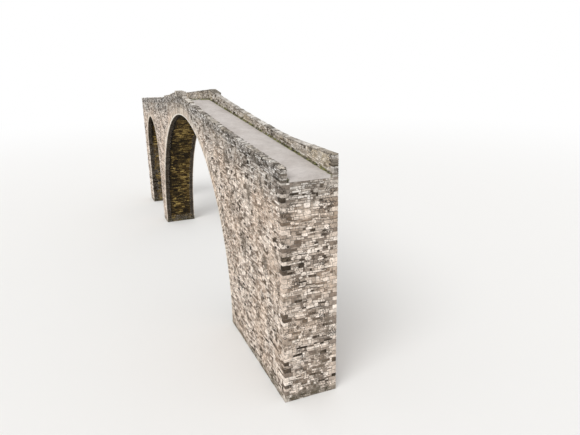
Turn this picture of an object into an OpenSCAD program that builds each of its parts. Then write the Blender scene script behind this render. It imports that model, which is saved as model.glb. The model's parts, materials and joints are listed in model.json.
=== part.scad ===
// Humpbacked stone road bridge, a scale model at half the real size.
// X runs along the bridge, Z is up, and the origin is on the river bed under the crest.
// Near is the +X ramp and far is the -X ramp; left is -Y and right is +Y,
// as a walker sees them going up the near ramp. Lengths are in millimetres.

/* [Roadway] */
// Width of the roadway between the parapets
road_w = 1510; // [1100:10:2400]
// Depth of masonry and fill between the main arch's ring and the pavement under the crest
cover = 220; // [190:10:500]
// Thickness of the road pavement at its edges
pave_t = 90; // [50:5:160]
// Rise of the road's middle above its edges
camber = 50; // [10:5:90]
// Fall of the near ramp, per unit of run
near_slope = 0.0828; // [0.05:0.0002:0.09]
// Fall of the far ramp, per unit of run
far_slope = 0.0752; // [0.04:0.0002:0.1]

/* [Parapets] */
// Height of the parapets' top above the road's edge at the crest
parapet_h = 545; // [480:5:700]
// Thickness of the parapet walls
parapet_t = 225; // [160:5:300]
// Thickness of the coping course
coping_t = 65; // [40:5:90]
// Oversail of the coping past each face of the parapet
coping_lip = 10; // [5:1:30]
// Height that the near parapets lose, down to the lowest part of their dip
near_dip = 189; // [0:1:220]
// Run from the crest to the lowest part of that dip
near_dip_x = 8500; // [7000:100:12000]
// Drop of the near left parapet below the right one
left_drop = 70; // [0:5:100]
// Length of the level-topped stretch at the near end of the right parapet
level_l = 3500; // [2000:100:6000]
// Run from the crest to the brow, the break in the far parapets' top
brow_l = 4330; // [3000:10:7000]
// Height that the far left parapet loses between the crest and the brow
far_dip_left = 300; // [0:5:320]
// Height that the far right parapet loses between the crest and the brow
far_dip_right = 54; // [0:2:200]

/* [Main arch] */
// Radius of the main arch's soffit
main_r = 7900; // [6600:50:8000]
// Place of the main arch's centre along the bridge
main_x = 600; // [0:50:900]
// Height of the main arch's springing above the river bed
main_spring_z = 450; // [200:10:620]
// Depth of the main arch's ring
main_ring_t = 400; // [260:10:460]

/* [Side arch] */
// Radius of the side arch's soffit
side_r = 2380; // [1600:20:2500]
// Height of the side arch's springing above the river bed
side_spring_z = 4740; // [4000:20:5000]
// Depth of the side arch's ring
side_ring_t = 260; // [180:10:300]

/* [Walls] */
// Length of the near abutment, from the main arch to the end of the bridge
near_abutment_l = 6200; // [5000:50:8000]
// Length of the pier between the two arches
pier_l = 1250; // [900:10:1800]
// Length of the far abutment, from the side arch to the end of the bridge
far_abutment_l = 1390; // [900:10:2400]
// Thickness of the spandrel walls
wall_t = 300; // [260:10:500]
// Thickness of the cross walls that close the two ends
end_wall_t = 300; // [200:10:400]
// Angle on the main arch's back up to which the near abutment is solid
near_solid_angle = 33.75; // [22.5:5.625:45]

/* [Putlog holes] */
// Side of the square holes that held the builders' scaffold
putlog_w = 90; // [60:5:120]
// Depth of those holes
putlog_d = 120; // [60:5:200]
// Holes in each of the two rows
putlog_n = 4; // [2:1:6]
// Run along the bridge from the crest to the first hole of each row
putlog_x = 4200; // [3800:50:4600]
// Distance between the holes of the upper row
putlog_step = 950; // [600:10:1100]
// Depth of the upper row's middle below the bed of the parapet
putlog_down = 240; // [150:10:300]
// Height between the two rows
putlog_rise = 220; // [160:10:300]

/* [Crest corbel] */
// Length of the cap stone and of the corbel's top along the bridge
corbel_l = 1100; // [500:20:1400]
// Reach of the corbel past the parapet's outer face
corbel_reach = 150; // [60:5:220]
// Height of the corbel's foot above the edge of the road at the crest
corbel_foot_z = 160; // [80:5:200]
// Height from the corbel's foot to its upright nose
corbel_flare_h = 110; // [50:5:140]
// Width of the corbel's foot
corbel_foot_l = 160; // [60:10:300]
// Place of the foot, as a part of the corbel's length
corbel_foot_at = 0.6; // [0.3:0.05:0.7]

/* [Hidden] */
$fn = 360;

// Ends of the bridge, and the middle of the side arch
near_x = main_x + main_r + near_abutment_l;
side_x = main_x - main_r - pier_l - side_r;
far_x = side_x - side_r - far_abutment_l;
level_x = near_x - level_l;
road_half = road_w / 2;
face_y = road_half + parapet_t;
core_y = face_y - wall_t;
main_back_r = main_r + main_ring_t;
side_back_r = side_r + side_ring_t;
// Height of the road's edge at the crest
crest_z = main_spring_z + main_back_r + cover + pave_t;
cap_z = crest_z + parapet_h;
near_solid_z = main_spring_z + main_back_r * sin(near_solid_angle);
// Stations along a near parapet at which its curved top is drawn
stations = 12;
// Reach of a cutting solid past what it cuts
past = 50;
// Height that is above every piece
sky_z = cap_z + past;

rubble = [0.62, 0.57, 0.50];
ring_stone = [0.70, 0.65, 0.57];
parapet_stone = [0.52, 0.48, 0.43];
coping_stone = [0.72, 0.70, 0.66];
road_grey = [0.66, 0.65, 0.64];
fill_brown = [0.48, 0.41, 0.33];

// Height of the road's edge, which falls evenly from the crest on each ramp
function road_z(x) = crest_z - (x > 0 ? near_slope * x : -far_slope * x);

// Height of the bed under the pavement and the parapets
function bed_z(x) = road_z(x) - pave_t;

// Top of a near parapet: it dips between the crest and the end of the bridge
function near_top(x, drop) =
    road_z(x) + parapet_h - drop - near_dip * (2 * x / near_dip_x - pow(x / near_dip_x, 2));

// Top of a far parapet: it falls fast to the brow and then keeps to the slope of the road
function far_top(x, dip) = road_z(x) + parapet_h - dip * min(1, -x / brow_l);

// Points of a line that lies the given depth below a parapet's top
function near_line(x1, drop, down) = [
    for (i = [0:stations])
        let (x = i * x1 / stations) [x, near_top(x, drop) - down]];
function far_line(dip, down) = [for (x = [far_x, -brow_l, 0]) [x, far_top(x, dip) - down]];

function reversed(points) = [for (i = [len(points) - 1:-1:0]) points[i]];

// A shape drawn in X and Z becomes a solid between two values of Y
module across(y0, y1) {
    translate([0, y1, 0]) rotate([90, 0, 0]) linear_extrude(y1 - y0) children();
}

// A shape drawn in Y and Z becomes a solid between two values of X
module along(x0, x1) {
    translate([x0, 0, 0]) rotate([90, 0, 90]) linear_extrude(x1 - x0) children();
}

// Everything between a level and the bed of the pavement
module under_road(z0, y0, y1) {
    across(y0, y1) polygon([
        [far_x, z0], [near_x, z0], [near_x, bed_z(near_x)], [0, bed_z(0)], [far_x, bed_z(far_x)]]);
}

module slice_x(x0, x1) {
    intersection() {
        children();
        translate([x0, -2 * face_y, -past]) cube([x1 - x0, 4 * face_y, sky_z + past]);
    }
}

// Solid half drum over an arch, standing on its springing
module half_drum(x, spring_z, r, y0, y1) {
    intersection() {
        translate([x, y1, spring_z]) rotate([90, 0, 0]) cylinder(r = r, h = y1 - y0);
        translate([x - r - past, y0, spring_z]) cube([2 * (r + past), y1 - y0, r + past]);
    }
}

module arch_ring(x, spring_z, r, ring_t, y0, y1) {
    difference() {
        half_drum(x, spring_z, r + ring_t, y0, y1);
        translate([x, y1 + past, spring_z]) rotate([90, 0, 0]) cylinder(r = r, h = y1 - y0 + 2 * past);
    }
}

module main_ring(y0, y1) {
    arch_ring(main_x, main_spring_z, main_r, main_ring_t, y0, y1);
}

module side_ring(y0, y1) {
    arch_ring(side_x, side_spring_z, side_r, side_ring_t, y0, y1);
}

// Room that an arch takes: its ring, and the passage between the jambs under its springing
module arch_room(x, spring_z, r, back_r) {
    half_drum(x, spring_z, back_r, -2 * face_y, 2 * face_y);
    translate([x - r, -2 * face_y, -past]) cube([2 * r, 4 * face_y, spring_z + 2 * past]);
}

module clear_of_arches() {
    difference() {
        children();
        arch_room(main_x, main_spring_z, main_r, main_back_r);
        arch_room(side_x, side_spring_z, side_r, side_back_r);
    }
}

// Solid masonry of the full width, from the river bed up
module mass(x0, x1, z1) {
    clear_of_arches() translate([x0, -face_y, 0]) cube([x1 - x0, 2 * face_y, z1]);
}

// Masonry or fill above the solid masses, up to the bed of the pavement
module near_spandrel(x1, y0, y1) {
    clear_of_arches() slice_x(main_x, x1) under_road(near_solid_z, y0, y1);
}

module middle_spandrel(y0, y1) {
    clear_of_arches() slice_x(side_x, main_x) under_road(side_spring_z, y0, y1);
}

module far_spandrel(x0, y0, y1) {
    clear_of_arches() slice_x(x0, side_x) under_road(side_spring_z, y0, y1);
}

// Where both sides are alike the left one is drawn, and the right one mirrors it
module on_right() {
    mirror([0, 1, 0]) children();
}

module near_abutment() { color(rubble) mass(main_x, near_x, near_solid_z); }
module river_pier() { color(rubble) mass(side_x, main_x, side_spring_z); }
module far_abutment() { color(rubble) mass(far_x, side_x, side_spring_z); }

module main_arch_barrel() { color(ring_stone) main_ring(-core_y, core_y); }
module main_arch_ring_left() { color(ring_stone) main_ring(-face_y, -core_y); }
module main_arch_ring_right() { on_right() main_arch_ring_left(); }

module side_arch_barrel() { color(ring_stone) side_ring(-core_y, core_y); }
module side_arch_ring_left() { color(ring_stone) side_ring(-face_y, -core_y); }
module side_arch_ring_right() { on_right() side_arch_ring_left(); }

// Blind square holes in the outer face, in two rows that follow the far ramp;
// those of the lower row are twice as far apart
module putlog_holes() {
    for (row = [0, 1], i = [0:putlog_n - 1]) {
        x = -putlog_x - i * putlog_step * (1 + row);
        z = bed_z(x) - putlog_down - row * putlog_rise;
        translate([x - putlog_w / 2, -face_y - past, z - putlog_w / 2])
            cube([putlog_w, past + putlog_d, putlog_w]);
    }
}

module near_wall_left() { color(rubble) near_spandrel(near_x, -face_y, -core_y); }
module near_wall_right() { on_right() near_wall_left(); }
module middle_wall_left() {
    color(rubble) difference() {
        middle_spandrel(-face_y, -core_y);
        putlog_holes();
    }
}
module middle_wall_right() { on_right() middle_wall_left(); }
module far_wall_left() { color(rubble) far_spandrel(far_x, -face_y, -core_y); }
module far_wall_right() { on_right() far_wall_left(); }

module near_end_wall() {
    color(rubble) slice_x(near_x - end_wall_t, near_x) near_spandrel(near_x, -core_y, core_y);
}

module far_end_wall() {
    color(rubble) slice_x(far_x, far_x + end_wall_t) far_spandrel(far_x, -core_y, core_y);
}

module near_fill() { color(fill_brown) near_spandrel(near_x - end_wall_t, -core_y, core_y); }
module middle_fill() { color(fill_brown) middle_spandrel(-core_y, core_y); }
module far_fill() { color(fill_brown) far_spandrel(far_x + end_wall_t, -core_y, core_y); }

// One ramp of pavement: its cross-section has a raised middle and is laid along the slope
module pavement(x0, x1, slope) {
    tilt = atan(slope);
    square_t = pave_t * cos(tilt);
    square_rise = camber * cos(tilt);
    color(road_grey) slice_x(x0, x1) translate([0, 0, crest_z]) rotate([0, tilt, 0])
        along(2 * far_x, 2 * near_x) polygon([
            [-road_half, -square_t], [road_half, -square_t],
            [road_half, 0], [0, square_rise], [-road_half, 0]]);
}

module near_pavement() { pavement(0, near_x, near_slope); }
module far_pavement() { pavement(far_x, 0, -far_slope); }

// Body of a near parapet, from its bed up to the underside of the coping
module near_parapet(x1, drop) {
    color(parapet_stone) across(-face_y, -road_half)
        polygon(concat([[x1, bed_z(x1)], [0, bed_z(0)]], near_line(x1, drop, coping_t)));
}

module far_parapet(dip) {
    color(parapet_stone) across(-face_y, -road_half)
        polygon(concat([[0, bed_z(0)], [far_x, bed_z(far_x)]], far_line(dip, coping_t)));
}

module near_parapet_left() { near_parapet(near_x, left_drop); }
module near_parapet_right() { on_right() near_parapet(level_x, 0); }
module far_parapet_left() { far_parapet(far_dip_left); }
module far_parapet_right() { on_right() far_parapet(far_dip_right); }

// The last stretch of the right parapet has a level top while the road goes on falling
level_z = near_top(level_x, 0);
module end_parapet_right() {
    color(parapet_stone) on_right() across(-face_y, -road_half) polygon([
        [level_x, bed_z(level_x)], [near_x, bed_z(near_x)],
        [near_x, level_z - coping_t], [level_x, level_z - coping_t]]);
}

module near_coping_course(x1, drop, y0) {
    across(y0, -road_half + coping_lip)
        polygon(concat(near_line(x1, drop, 0), reversed(near_line(x1, drop, coping_t))));
}

module near_coping(x1, drop) {
    color(coping_stone) slice_x(corbel_l, x1) near_coping_course(x1, drop, -face_y - coping_lip);
}

module far_coping(dip) {
    color(coping_stone) across(-face_y - coping_lip, -road_half + coping_lip)
        polygon(concat(far_line(dip, 0), reversed(far_line(dip, coping_t))));
}

module near_coping_left() { near_coping(near_x, left_drop); }
module near_coping_right() { on_right() near_coping(level_x, 0); }
module far_coping_left() { far_coping(far_dip_left); }
module far_coping_right() { on_right() far_coping(far_dip_right); }

module end_coping_right() {
    color(coping_stone) translate([level_x, road_half - coping_lip, level_z - coping_t])
        cube([level_l, parapet_t + 2 * coping_lip, coping_t]);
}

// Bracket of stone under the cap: it grows out of the wall and widens from its foot to its nose
module crest_corbel(x1, drop) {
    foot_z = crest_z + corbel_foot_z;
    nose_z = foot_z + corbel_flare_h;
    foot_x = corbel_foot_at * corbel_l;
    nose_y = -face_y - corbel_reach;
    color(coping_stone) intersection() {
        along(0, corbel_l) polygon([
            [-face_y, foot_z], [-face_y, cap_z], [nose_y, cap_z], [nose_y, nose_z]]);
        across(nose_y, -face_y) polygon([
            [foot_x - corbel_foot_l / 2, foot_z], [foot_x + corbel_foot_l / 2, foot_z],
            [corbel_l, nose_z], [corbel_l, cap_z], [0, cap_z], [0, nose_z]]);
        across(nose_y, -face_y)
            polygon(concat([[x1, 0], [0, 0]], near_line(x1, drop, coping_t)));
    }
}

module crest_corbel_left() { crest_corbel(near_x, left_drop); }
module crest_corbel_right() { on_right() crest_corbel(level_x, 0); }

// The left cap stone has a level top, so it stands up above the coping that falls away from it
module crest_cap_left() {
    color(coping_stone) slice_x(0, corbel_l) across(-face_y - corbel_reach, -road_half + coping_lip)
        polygon(concat([[near_x, cap_z], [0, cap_z]], near_line(near_x, left_drop, coping_t)));
}

// The right cap stone lies in line with the coping
module crest_cap_right() {
    color(coping_stone) on_right() slice_x(0, corbel_l)
        near_coping_course(level_x, 0, -face_y - corbel_reach);
}

near_abutment();
river_pier();
far_abutment();
main_arch_barrel();
main_arch_ring_left();
main_arch_ring_right();
side_arch_barrel();
side_arch_ring_left();
side_arch_ring_right();
near_wall_left();
near_wall_right();
middle_wall_left();
middle_wall_right();
far_wall_left();
far_wall_right();
near_end_wall();
far_end_wall();
near_fill();
middle_fill();
far_fill();
near_pavement();
far_pavement();
near_parapet_left();
near_parapet_right();
far_parapet_left();
far_parapet_right();
end_parapet_right();
near_coping_left();
near_coping_right();
far_coping_left();
far_coping_right();
end_coping_right();
crest_corbel_left();
crest_corbel_right();
crest_cap_left();
crest_cap_right();
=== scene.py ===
"""Looks of a humpbacked stone road bridge, a scale model at half the real size.

The frame gives the solids. Each solid of masonry is replaced by its bed of mortar, which lies a little
behind the solid's faces, and the stones are set in the bed one by one, so that they come up to those
faces. Lengths are in metres. X runs along the bridge, with +X to the near ramp's end, and Z is up
from the bridge's foot.
"""
import json
import logging
import math
from collections.abc import Callable
from dataclasses import dataclass, field
from enum import Enum
from functools import partial

import bpy
import numpy as np
from mathutils import Matrix, Vector


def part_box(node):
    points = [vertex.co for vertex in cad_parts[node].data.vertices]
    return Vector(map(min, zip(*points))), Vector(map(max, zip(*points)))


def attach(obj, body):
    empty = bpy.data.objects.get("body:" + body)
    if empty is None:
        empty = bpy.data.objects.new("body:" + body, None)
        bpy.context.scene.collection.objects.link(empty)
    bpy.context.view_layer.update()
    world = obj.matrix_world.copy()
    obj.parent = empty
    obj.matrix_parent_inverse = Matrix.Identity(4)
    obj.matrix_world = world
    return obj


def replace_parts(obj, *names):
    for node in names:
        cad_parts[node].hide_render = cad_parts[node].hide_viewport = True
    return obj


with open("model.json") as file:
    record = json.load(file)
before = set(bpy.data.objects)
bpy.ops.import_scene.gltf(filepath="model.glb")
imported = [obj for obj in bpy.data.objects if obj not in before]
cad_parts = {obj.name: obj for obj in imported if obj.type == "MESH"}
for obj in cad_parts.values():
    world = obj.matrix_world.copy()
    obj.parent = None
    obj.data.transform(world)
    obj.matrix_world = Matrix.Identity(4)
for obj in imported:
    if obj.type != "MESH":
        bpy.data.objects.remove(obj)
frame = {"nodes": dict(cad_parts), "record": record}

LOG = logging.getLogger("bridge")
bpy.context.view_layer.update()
BODY = "root"
SEED = 1177
# The mortar lies this far behind the solids' faces, and the stones' hidden edges this far
MORTAR_DEPTH = 0.018
STONE_ROOT = 0.026
# Half the width of a joint between two stones
JOINT = 0.005
# No stone comes nearer to the bridge's foot than this
FOOT = 0.002
# Further off than any part of the bridge
FAR_AWAY = 1000.0

Array = np.ndarray
Faces = list[tuple[int, ...]]
Stretches = list[tuple[float, float]]
Placer = Callable[[Array, Array, Array], Array]
Settler = Callable[[Array, Array], tuple[Array, Array]]
Colour = tuple[float, float, float, float]
Socket = bpy.types.NodeSocket
Value = Socket | float | tuple[float, ...]


class Side(Enum):
    """A side of the bridge, as seen on the way up the near ramp."""

    LEFT = -1.0
    RIGHT = 1.0

    @property
    def word(self) -> str:
        """The side's name in the pieces' names."""
        return self.name.lower()


@dataclass(frozen=True)
class Arch:
    """One round arch: the centre of its curve, and the radii of its soffit and of its back."""

    name: str
    x: float
    spring_z: float
    soffit_r: float
    back_r: float

    def half_width(self, z: float) -> float:
        """Gives half the width of wall that the arch takes out at a height.

        Args:
            z: The height above the bridge's foot.

        Returns:
            Half the opening below the springing, and above it half the width of the ring's back.
        """
        if z < self.spring_z:
            return self.soffit_r
        return math.sqrt(max(self.back_r ** 2 - (z - self.spring_z) ** 2, 0.0))


@dataclass(frozen=True)
class BridgeForm:
    """Sizes of the bridge, measured on the frame's solids or repeated from the part's source."""

    near_x: float
    far_x: float
    face_y: float
    road_half: float
    crest_z: float
    pave_t: float
    near_slope: float
    far_slope: float
    cap_z: float
    level_x: float
    main: Arch
    side: Arch
    camber: float = 0.050
    coping_t: float = 0.065
    coping_lip: float = 0.010
    near_dip: float = 0.189
    near_dip_x: float = 8.5
    left_drop: float = 0.070
    brow_l: float = 4.33
    far_dip_left: float = 0.300
    far_dip_right: float = 0.054
    # How much further the right parapet's top falls from the brow to the far end, which the solid lacks
    far_fall_right: float = 0.144
    cap_l: float = 1.1
    corbel_reach: float = 0.150
    corbel_foot_z: float = 0.160
    corbel_flare_h: float = 0.110
    corbel_foot_l: float = 0.160
    corbel_foot_at: float = 0.6
    hole_w: float = 0.090
    hole_count: int = 4
    hole_x: float = 4.2
    hole_step: float = 0.95
    hole_down: float = 0.240
    hole_rise: float = 0.220

    @classmethod
    def measured(cls) -> "BridgeForm":
        """Reads the sizes that the frame's nodes give.

        Returns:
            The bridge's sizes.
        """
        road_low, road_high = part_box("near_pavement")
        far_road_low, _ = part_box("far_pavement")
        near_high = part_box("near_abutment")[1]
        far_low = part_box("far_abutment")[0]
        crest_z = road_high.z - cls.camber
        pave_t = crest_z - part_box("middle_wall_left")[1].z
        arches = {}
        for name in ("main", "side"):
            low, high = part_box(f"{name}_arch_barrel")
            middle = (low.x + high.x) / 2
            barrel = frame["nodes"][f"{name}_arch_barrel"].data.vertices
            soffit_r = min(math.hypot(point.co.x - middle, point.co.z - low.z) for point in barrel)
            arches[name] = Arch(name, middle, low.z, soffit_r, (high.x - low.x) / 2)
        return cls(
            near_x=near_high.x, far_x=far_low.x, face_y=near_high.y, road_half=road_high.y,
            crest_z=crest_z, pave_t=pave_t,
            near_slope=(crest_z - pave_t - road_low.z) / near_high.x,
            far_slope=(crest_z - pave_t - far_road_low.z) / -far_low.x,
            cap_z=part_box("crest_cap_left")[1].z, level_x=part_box("end_parapet_right")[0].x,
            main=arches["main"], side=arches["side"])

    @property
    def corbel_foot_x(self) -> float:
        """X of the middle of a corbel's narrow foot."""
        return self.cap_l * self.corbel_foot_at

    @property
    def corbel_low_z(self) -> float:
        """Height of a corbel's foot."""
        return self.crest_z + self.corbel_foot_z

    @property
    def parapet_h(self) -> float:
        """Height of the parapets' top above the road's edge at the crest."""
        return self.cap_z - self.crest_z

    @property
    def putlog_holes(self) -> list[tuple[float, float]]:
        """Gives the putlog holes, which are the same on both long faces.

        Returns:
            For each hole the X and the height of its middle.
        """
        places = [(-self.hole_x - i * self.hole_step * (1 + row), self.hole_down + row * self.hole_rise)
                  for row in (0, 1) for i in range(self.hole_count)]
        return [(x, self.bed_at(x) - down) for x, down in places]

    @property
    def arches(self) -> tuple[Arch, Arch]:
        """Both arches, the great one first."""
        return self.main, self.side

    def road_z(self, x: Array) -> Array:
        """Height of the road's edge at x."""
        return self.crest_z - np.where(x > 0, self.near_slope * x, -self.far_slope * x)

    def bed_z(self, x: Array) -> Array:
        """Height of the bed under the pavement and the parapets at x."""
        return self.road_z(x) - self.pave_t

    def bed_at(self, x: float) -> float:
        """Height of that bed at one place."""
        return float(self.bed_z(np.array(x)))

    def near_top(self, x: Array, drop: float) -> Array:
        """Height of a near parapet's top, which dips between the crest and the end."""
        run = x / self.near_dip_x
        return self.road_z(x) + self.parapet_h - drop - self.near_dip * (2 * run - run ** 2)

    def far_fall(self, x: Array) -> Array:
        """How far the right parapet's top lies below its solid's at x."""
        return self.far_fall_right * np.clip((x + self.brow_l) / (self.far_x + self.brow_l), 0.0, 1.0)

    def top_z(self, side: Side, x: Array) -> Array:
        """Gives the height of a parapet's top, with its coping.

        Args:
            side: The side that the parapet is on.
            x: Places along the bridge.

        Returns:
            The height at each place.
        """
        left = side is Side.LEFT
        dip = self.far_dip_left if left else self.far_dip_right
        far = self.road_z(x) + self.parapet_h - dip * np.minimum(1.0, -x / self.brow_l)
        top = np.where(x > 0, self.near_top(x, self.left_drop if left else 0.0), far)
        if left:
            return top
        level = self.near_top(np.array(self.level_x), 0.0)
        return np.where(x > self.level_x, level, top - self.far_fall(x))


FORM = BridgeForm.measured()


def linear(colour: str) -> Colour:
    """Turns an sRGB hex colour such as "#A0B0C0" into linear RGBA."""
    channels = [int(colour[i:i + 2], 16) / 255 for i in (1, 3, 5)]
    return (*[c / 12.92 if c <= 0.04045 else ((c + 0.055) / 1.055) ** 2.4 for c in channels], 1.0)


def per_metre(size_mm: float) -> float:
    """Gives a texture's scale for a pattern whose parts are so many millimetres across."""
    return 1000.0 / size_mm


class Step(Enum):
    """A step in a material: its node, the node's settings, the inputs it takes and the output it gives."""

    PLACE = ("TexCoord", {}, (), "Object")
    STONE_SHADE = ("Attribute", {"attribute_name": "stone_shade"}, (), "Fac")
    CAMERA_RAY = ("LightPath", {}, (), "Is Camera Ray")
    MIRRORED_RAY = ("LightPath", {}, (), "Is Glossy Ray")
    PASSED_RAY = ("LightPath", {}, (), "Is Transmission Ray")
    X = ("SeparateXYZ", {}, (0,), 0)
    Y = ("SeparateXYZ", {}, (0,), 1)
    Z = ("SeparateXYZ", {}, (0,), 2)
    STRETCH = ("VectorMath", {"operation": "MULTIPLY"}, (0, 1), 0)
    RAISE = ("VectorMath", {"operation": "MAXIMUM"}, (0, 1), 0)
    DISTANCE = ("VectorMath", {"operation": "DISTANCE"}, (0, 1), "Value")
    SIZE = ("Math", {"operation": "ABSOLUTE"}, (0,), 0)
    ADD = ("Math", {"operation": "ADD"}, (0, 1), 0)
    SUBTRACT = ("Math", {"operation": "SUBTRACT"}, (0, 1), 0)
    MULTIPLY = ("Math", {"operation": "MULTIPLY"}, (0, 1), 0)
    MULTIPLY_ADD = ("Math", {"operation": "MULTIPLY_ADD"}, (0, 1, 2), 0)
    LEAST = ("Math", {"operation": "MINIMUM"}, (0, 1), 0)
    GREATEST = ("Math", {"operation": "MAXIMUM"}, (0, 1), 0)
    # From a value, its low and its high end, and optionally what each end becomes, with 0 and 1 otherwise
    RANGE = ("MapRange", {"interpolation_type": "SMOOTHSTEP"}, (0, 1, 2, 3, 4), 0)
    # From a place, a scale, and optionally a detail and a roughness
    NOISE = ("TexNoise", {}, ("Vector", "Scale", "Detail", "Roughness"), 0)
    TONES = ("ValToRGB", {}, (0,), 0)
    # From the share that a coat covers, the colour below it and its own colour
    COVER = ("Mix", {"data_type": "RGBA"}, (0, 6, 7), 2)
    TINT = ("Mix", {"data_type": "RGBA", "blend_type": "MULTIPLY"}, (0, 6, 7), 2)
    BUMP = ("Bump", {}, ("Height", "Distance", "Strength"), 0)
    SKY = ("Background", {}, ("Color", "Strength"), 0)
    GLOW = ("Emission", {}, ("Color", "Strength"), 0)
    EITHER = ("MixShader", {}, (0, 1, 2), 0)


def add_node(tree: bpy.types.NodeTree, step: Step, *values: Value) -> Socket:
    """Adds the node of one step, with its settings and links.

    Args:
        tree: The node tree.
        step: What the node does.
        *values: For each input of the step its value, or the output socket to link.

    Returns:
        The output socket of the step.
    """
    kind, settings, inputs, output = step.value
    node = tree.nodes.new("ShaderNode" + kind)
    for name, value in settings.items():
        setattr(node, name, value)
    for key, value in zip(inputs, values):
        if isinstance(value, Socket):
            tree.links.new(value, node.inputs[key])
        else:
            node.inputs[key].default_value = value
    return node.outputs[output]


class Coats:
    """A material in the making: its nodes, where a point lies on the bridge, and the colour so far."""

    def __init__(self, name: str, roughness: float) -> None:
        """Starts a material.

        Args:
            name: Its name.
            roughness: How matt it is, from 0 to 1.
        """
        self.material = bpy.data.materials.new(name)
        self.material.use_nodes = True
        self.tree = self.material.node_tree
        self.surface = self.tree.nodes["Principled BSDF"]
        self.surface.inputs["Roughness"].default_value = roughness
        self.add: Callable[..., Socket] = partial(add_node, self.tree)
        self.where = self.add(Step.PLACE)
        # The place seen square to the long faces, and the distance from the bridge's middle plane
        self.flat = self.add(Step.STRETCH, self.where, (1.0, 0.0, 1.0))
        self.x, self.y, self.z = (self.add(axis, self.where) for axis in (Step.X, Step.Y, Step.Z))
        self.across = self.add(Step.SIZE, self.y)
        self.colour: Value = linear("#FFFFFF")

    def over_road(self) -> Socket:
        """Gives a point's height above the edge of the road.

        Returns:
            The socket with the height.
        """
        near_run = self.add(Step.GREATEST, self.x, 0.0)
        far_run = self.add(Step.LEAST, self.x, 0.0)
        near_fall = self.add(Step.MULTIPLY_ADD, near_run, FORM.near_slope, self.z)
        both = self.add(Step.MULTIPLY_ADD, far_run, -FORM.far_slope, near_fall)
        return self.add(Step.SUBTRACT, both, FORM.crest_z)

    def off_soffit(self) -> Socket:
        """Gives a point's distance from the nearer arch's soffit or jamb into the masonry.

        Returns:
            The socket with the distance.
        """
        gaps = []
        for arch in FORM.arches:
            # A point below the springing counts as level with it, where the jamb takes over from the curve
            lifted = self.add(Step.RAISE, self.flat, (-FAR_AWAY, 0.0, arch.spring_z))
            far = self.add(Step.DISTANCE, lifted, (arch.x, 0.0, arch.spring_z))
            gaps.append(self.add(Step.SUBTRACT, far, arch.soffit_r))
        return self.add(Step.LEAST, *gaps)

    def moss(self) -> tuple[Socket, Socket]:
        """Gives moss that follows the foot of the parapets, dark with yellow-green tips.

        Returns:
            The sockets with the share of the face that has moss, and with its colour.
        """
        add = self.add
        along = add(Step.STRETCH, self.where, (1.0, 0.6, 0.6))
        cushions = add(Step.NOISE, along, per_metre(190), 7.0, 0.66)
        tufts = add(Step.NOISE, self.where, per_metre(130), 7.0, 0.66)
        # Single leaves wouldn't show, so these are shoots
        leaves = add(Step.NOISE, self.where, per_metre(14))
        green = add(Step.COVER, add(Step.RANGE, tufts, 0.44, 0.60), linear("#25260F"), linear("#94944E"))
        leafy = add(Step.RANGE, leaves, 0.3, 0.7, 0.66, 1.22)
        return add(Step.RANGE, cushions, 0.38, 0.50), add(Step.TINT, 1.0, green, leafy)

    def finished(self, relief: Socket, depth: float, strength: float) -> bpy.types.Material:
        """Links the last coat and the relief of the surface.

        Args:
            relief: The pattern that stands up from the surface.
            depth: How far it stands up.
            strength: How much of that shows.

        Returns:
            The material, ready for a piece's slot.
        """
        bump = self.add(Step.BUMP, relief, depth, strength)
        self.tree.links.new(self.colour, self.surface.inputs["Base Color"])
        self.tree.links.new(bump, self.surface.inputs["Normal"])
        return self.material


@dataclass(frozen=True)
class StoneFinish:
    """Limestone, split or rough-dressed by hand and weathered outdoors, which leaves a matt broken face."""

    name: str
    dark: str
    middle: str
    pale: str
    warm: str
    # Tone of the few darkest stones: partly dark stone and partly painted shade of the recesses between
    # stones
    sunk: str = "#3A332B"
    warm_cover: float = 0.35
    lichen: str = "#5A5448"
    lichen_cover: float = 0.35
    lichen_mm: float = 95.0
    lichen_area_mm: float = 800.0
    # Extra lichen towards the near end, where the masonry is rarely dry
    lichen_near: float = 0.0
    streaks: float = 0.3
    # Share of moss at the foot of a face that stands on the road
    moss_at_road: float = 0.0
    # Share of pale lime on the arrises of the arches, where it runs out of the vault and dries
    lime: float = 0.0
    lime_tone: str = "#F4EFE4"
    # Share of soot-brown damp and painted shade on the faces that look into an arch's opening
    in_arch: float = 0.0
    in_arch_tones: tuple[str, str] = ("#0D0A06", "#3A2D18")
    # How much paler and warmer the face gets from the road down, where rain has washed it
    washed: float = 0.0
    washed_tones: tuple[str, str] = ("#F3F2F0", "#FFF7F0")
    # Share of black pits: painted shade of hollows where small stones and mortar have fallen out
    pits: float = 0.0
    pit_tone: str = "#1D1914"
    # Share of the pale stain that water leaves under the corbels, and the tone of the painted shadow just
    # under their feet
    stain: float = 0.0
    stain_tone: str = "#DCD0BF"
    drip_tone: str = "#1F1A14"
    # Share of the black seepage round the putlog holes
    seeping: float = 0.0
    seeping_tone: str = "#15110C"
    # Share of black damp near the mouths and the crown of a vault
    sooty: float = 0.0
    soot_tone: str = "#120E08"
    damp: str = "#4B4A38"
    damp_height: float = 0.5
    # The break of a split face. The stone's own grain is finer, and wouldn't show
    grain_mm: float = 16.0
    mottle_mm: float = 120.0
    mottle: float = 0.22
    roughness: float = 0.93
    # A broken face scatters most of what a polished one would mirror
    sheen: float = 0.2
    # How far the grain stands up, and how much of that shows
    relief: tuple[float, float] = (0.006, 0.8)

    def build(self) -> bpy.types.Material:
        """Makes the material."""
        return StoneCoats(self).laid()


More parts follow.
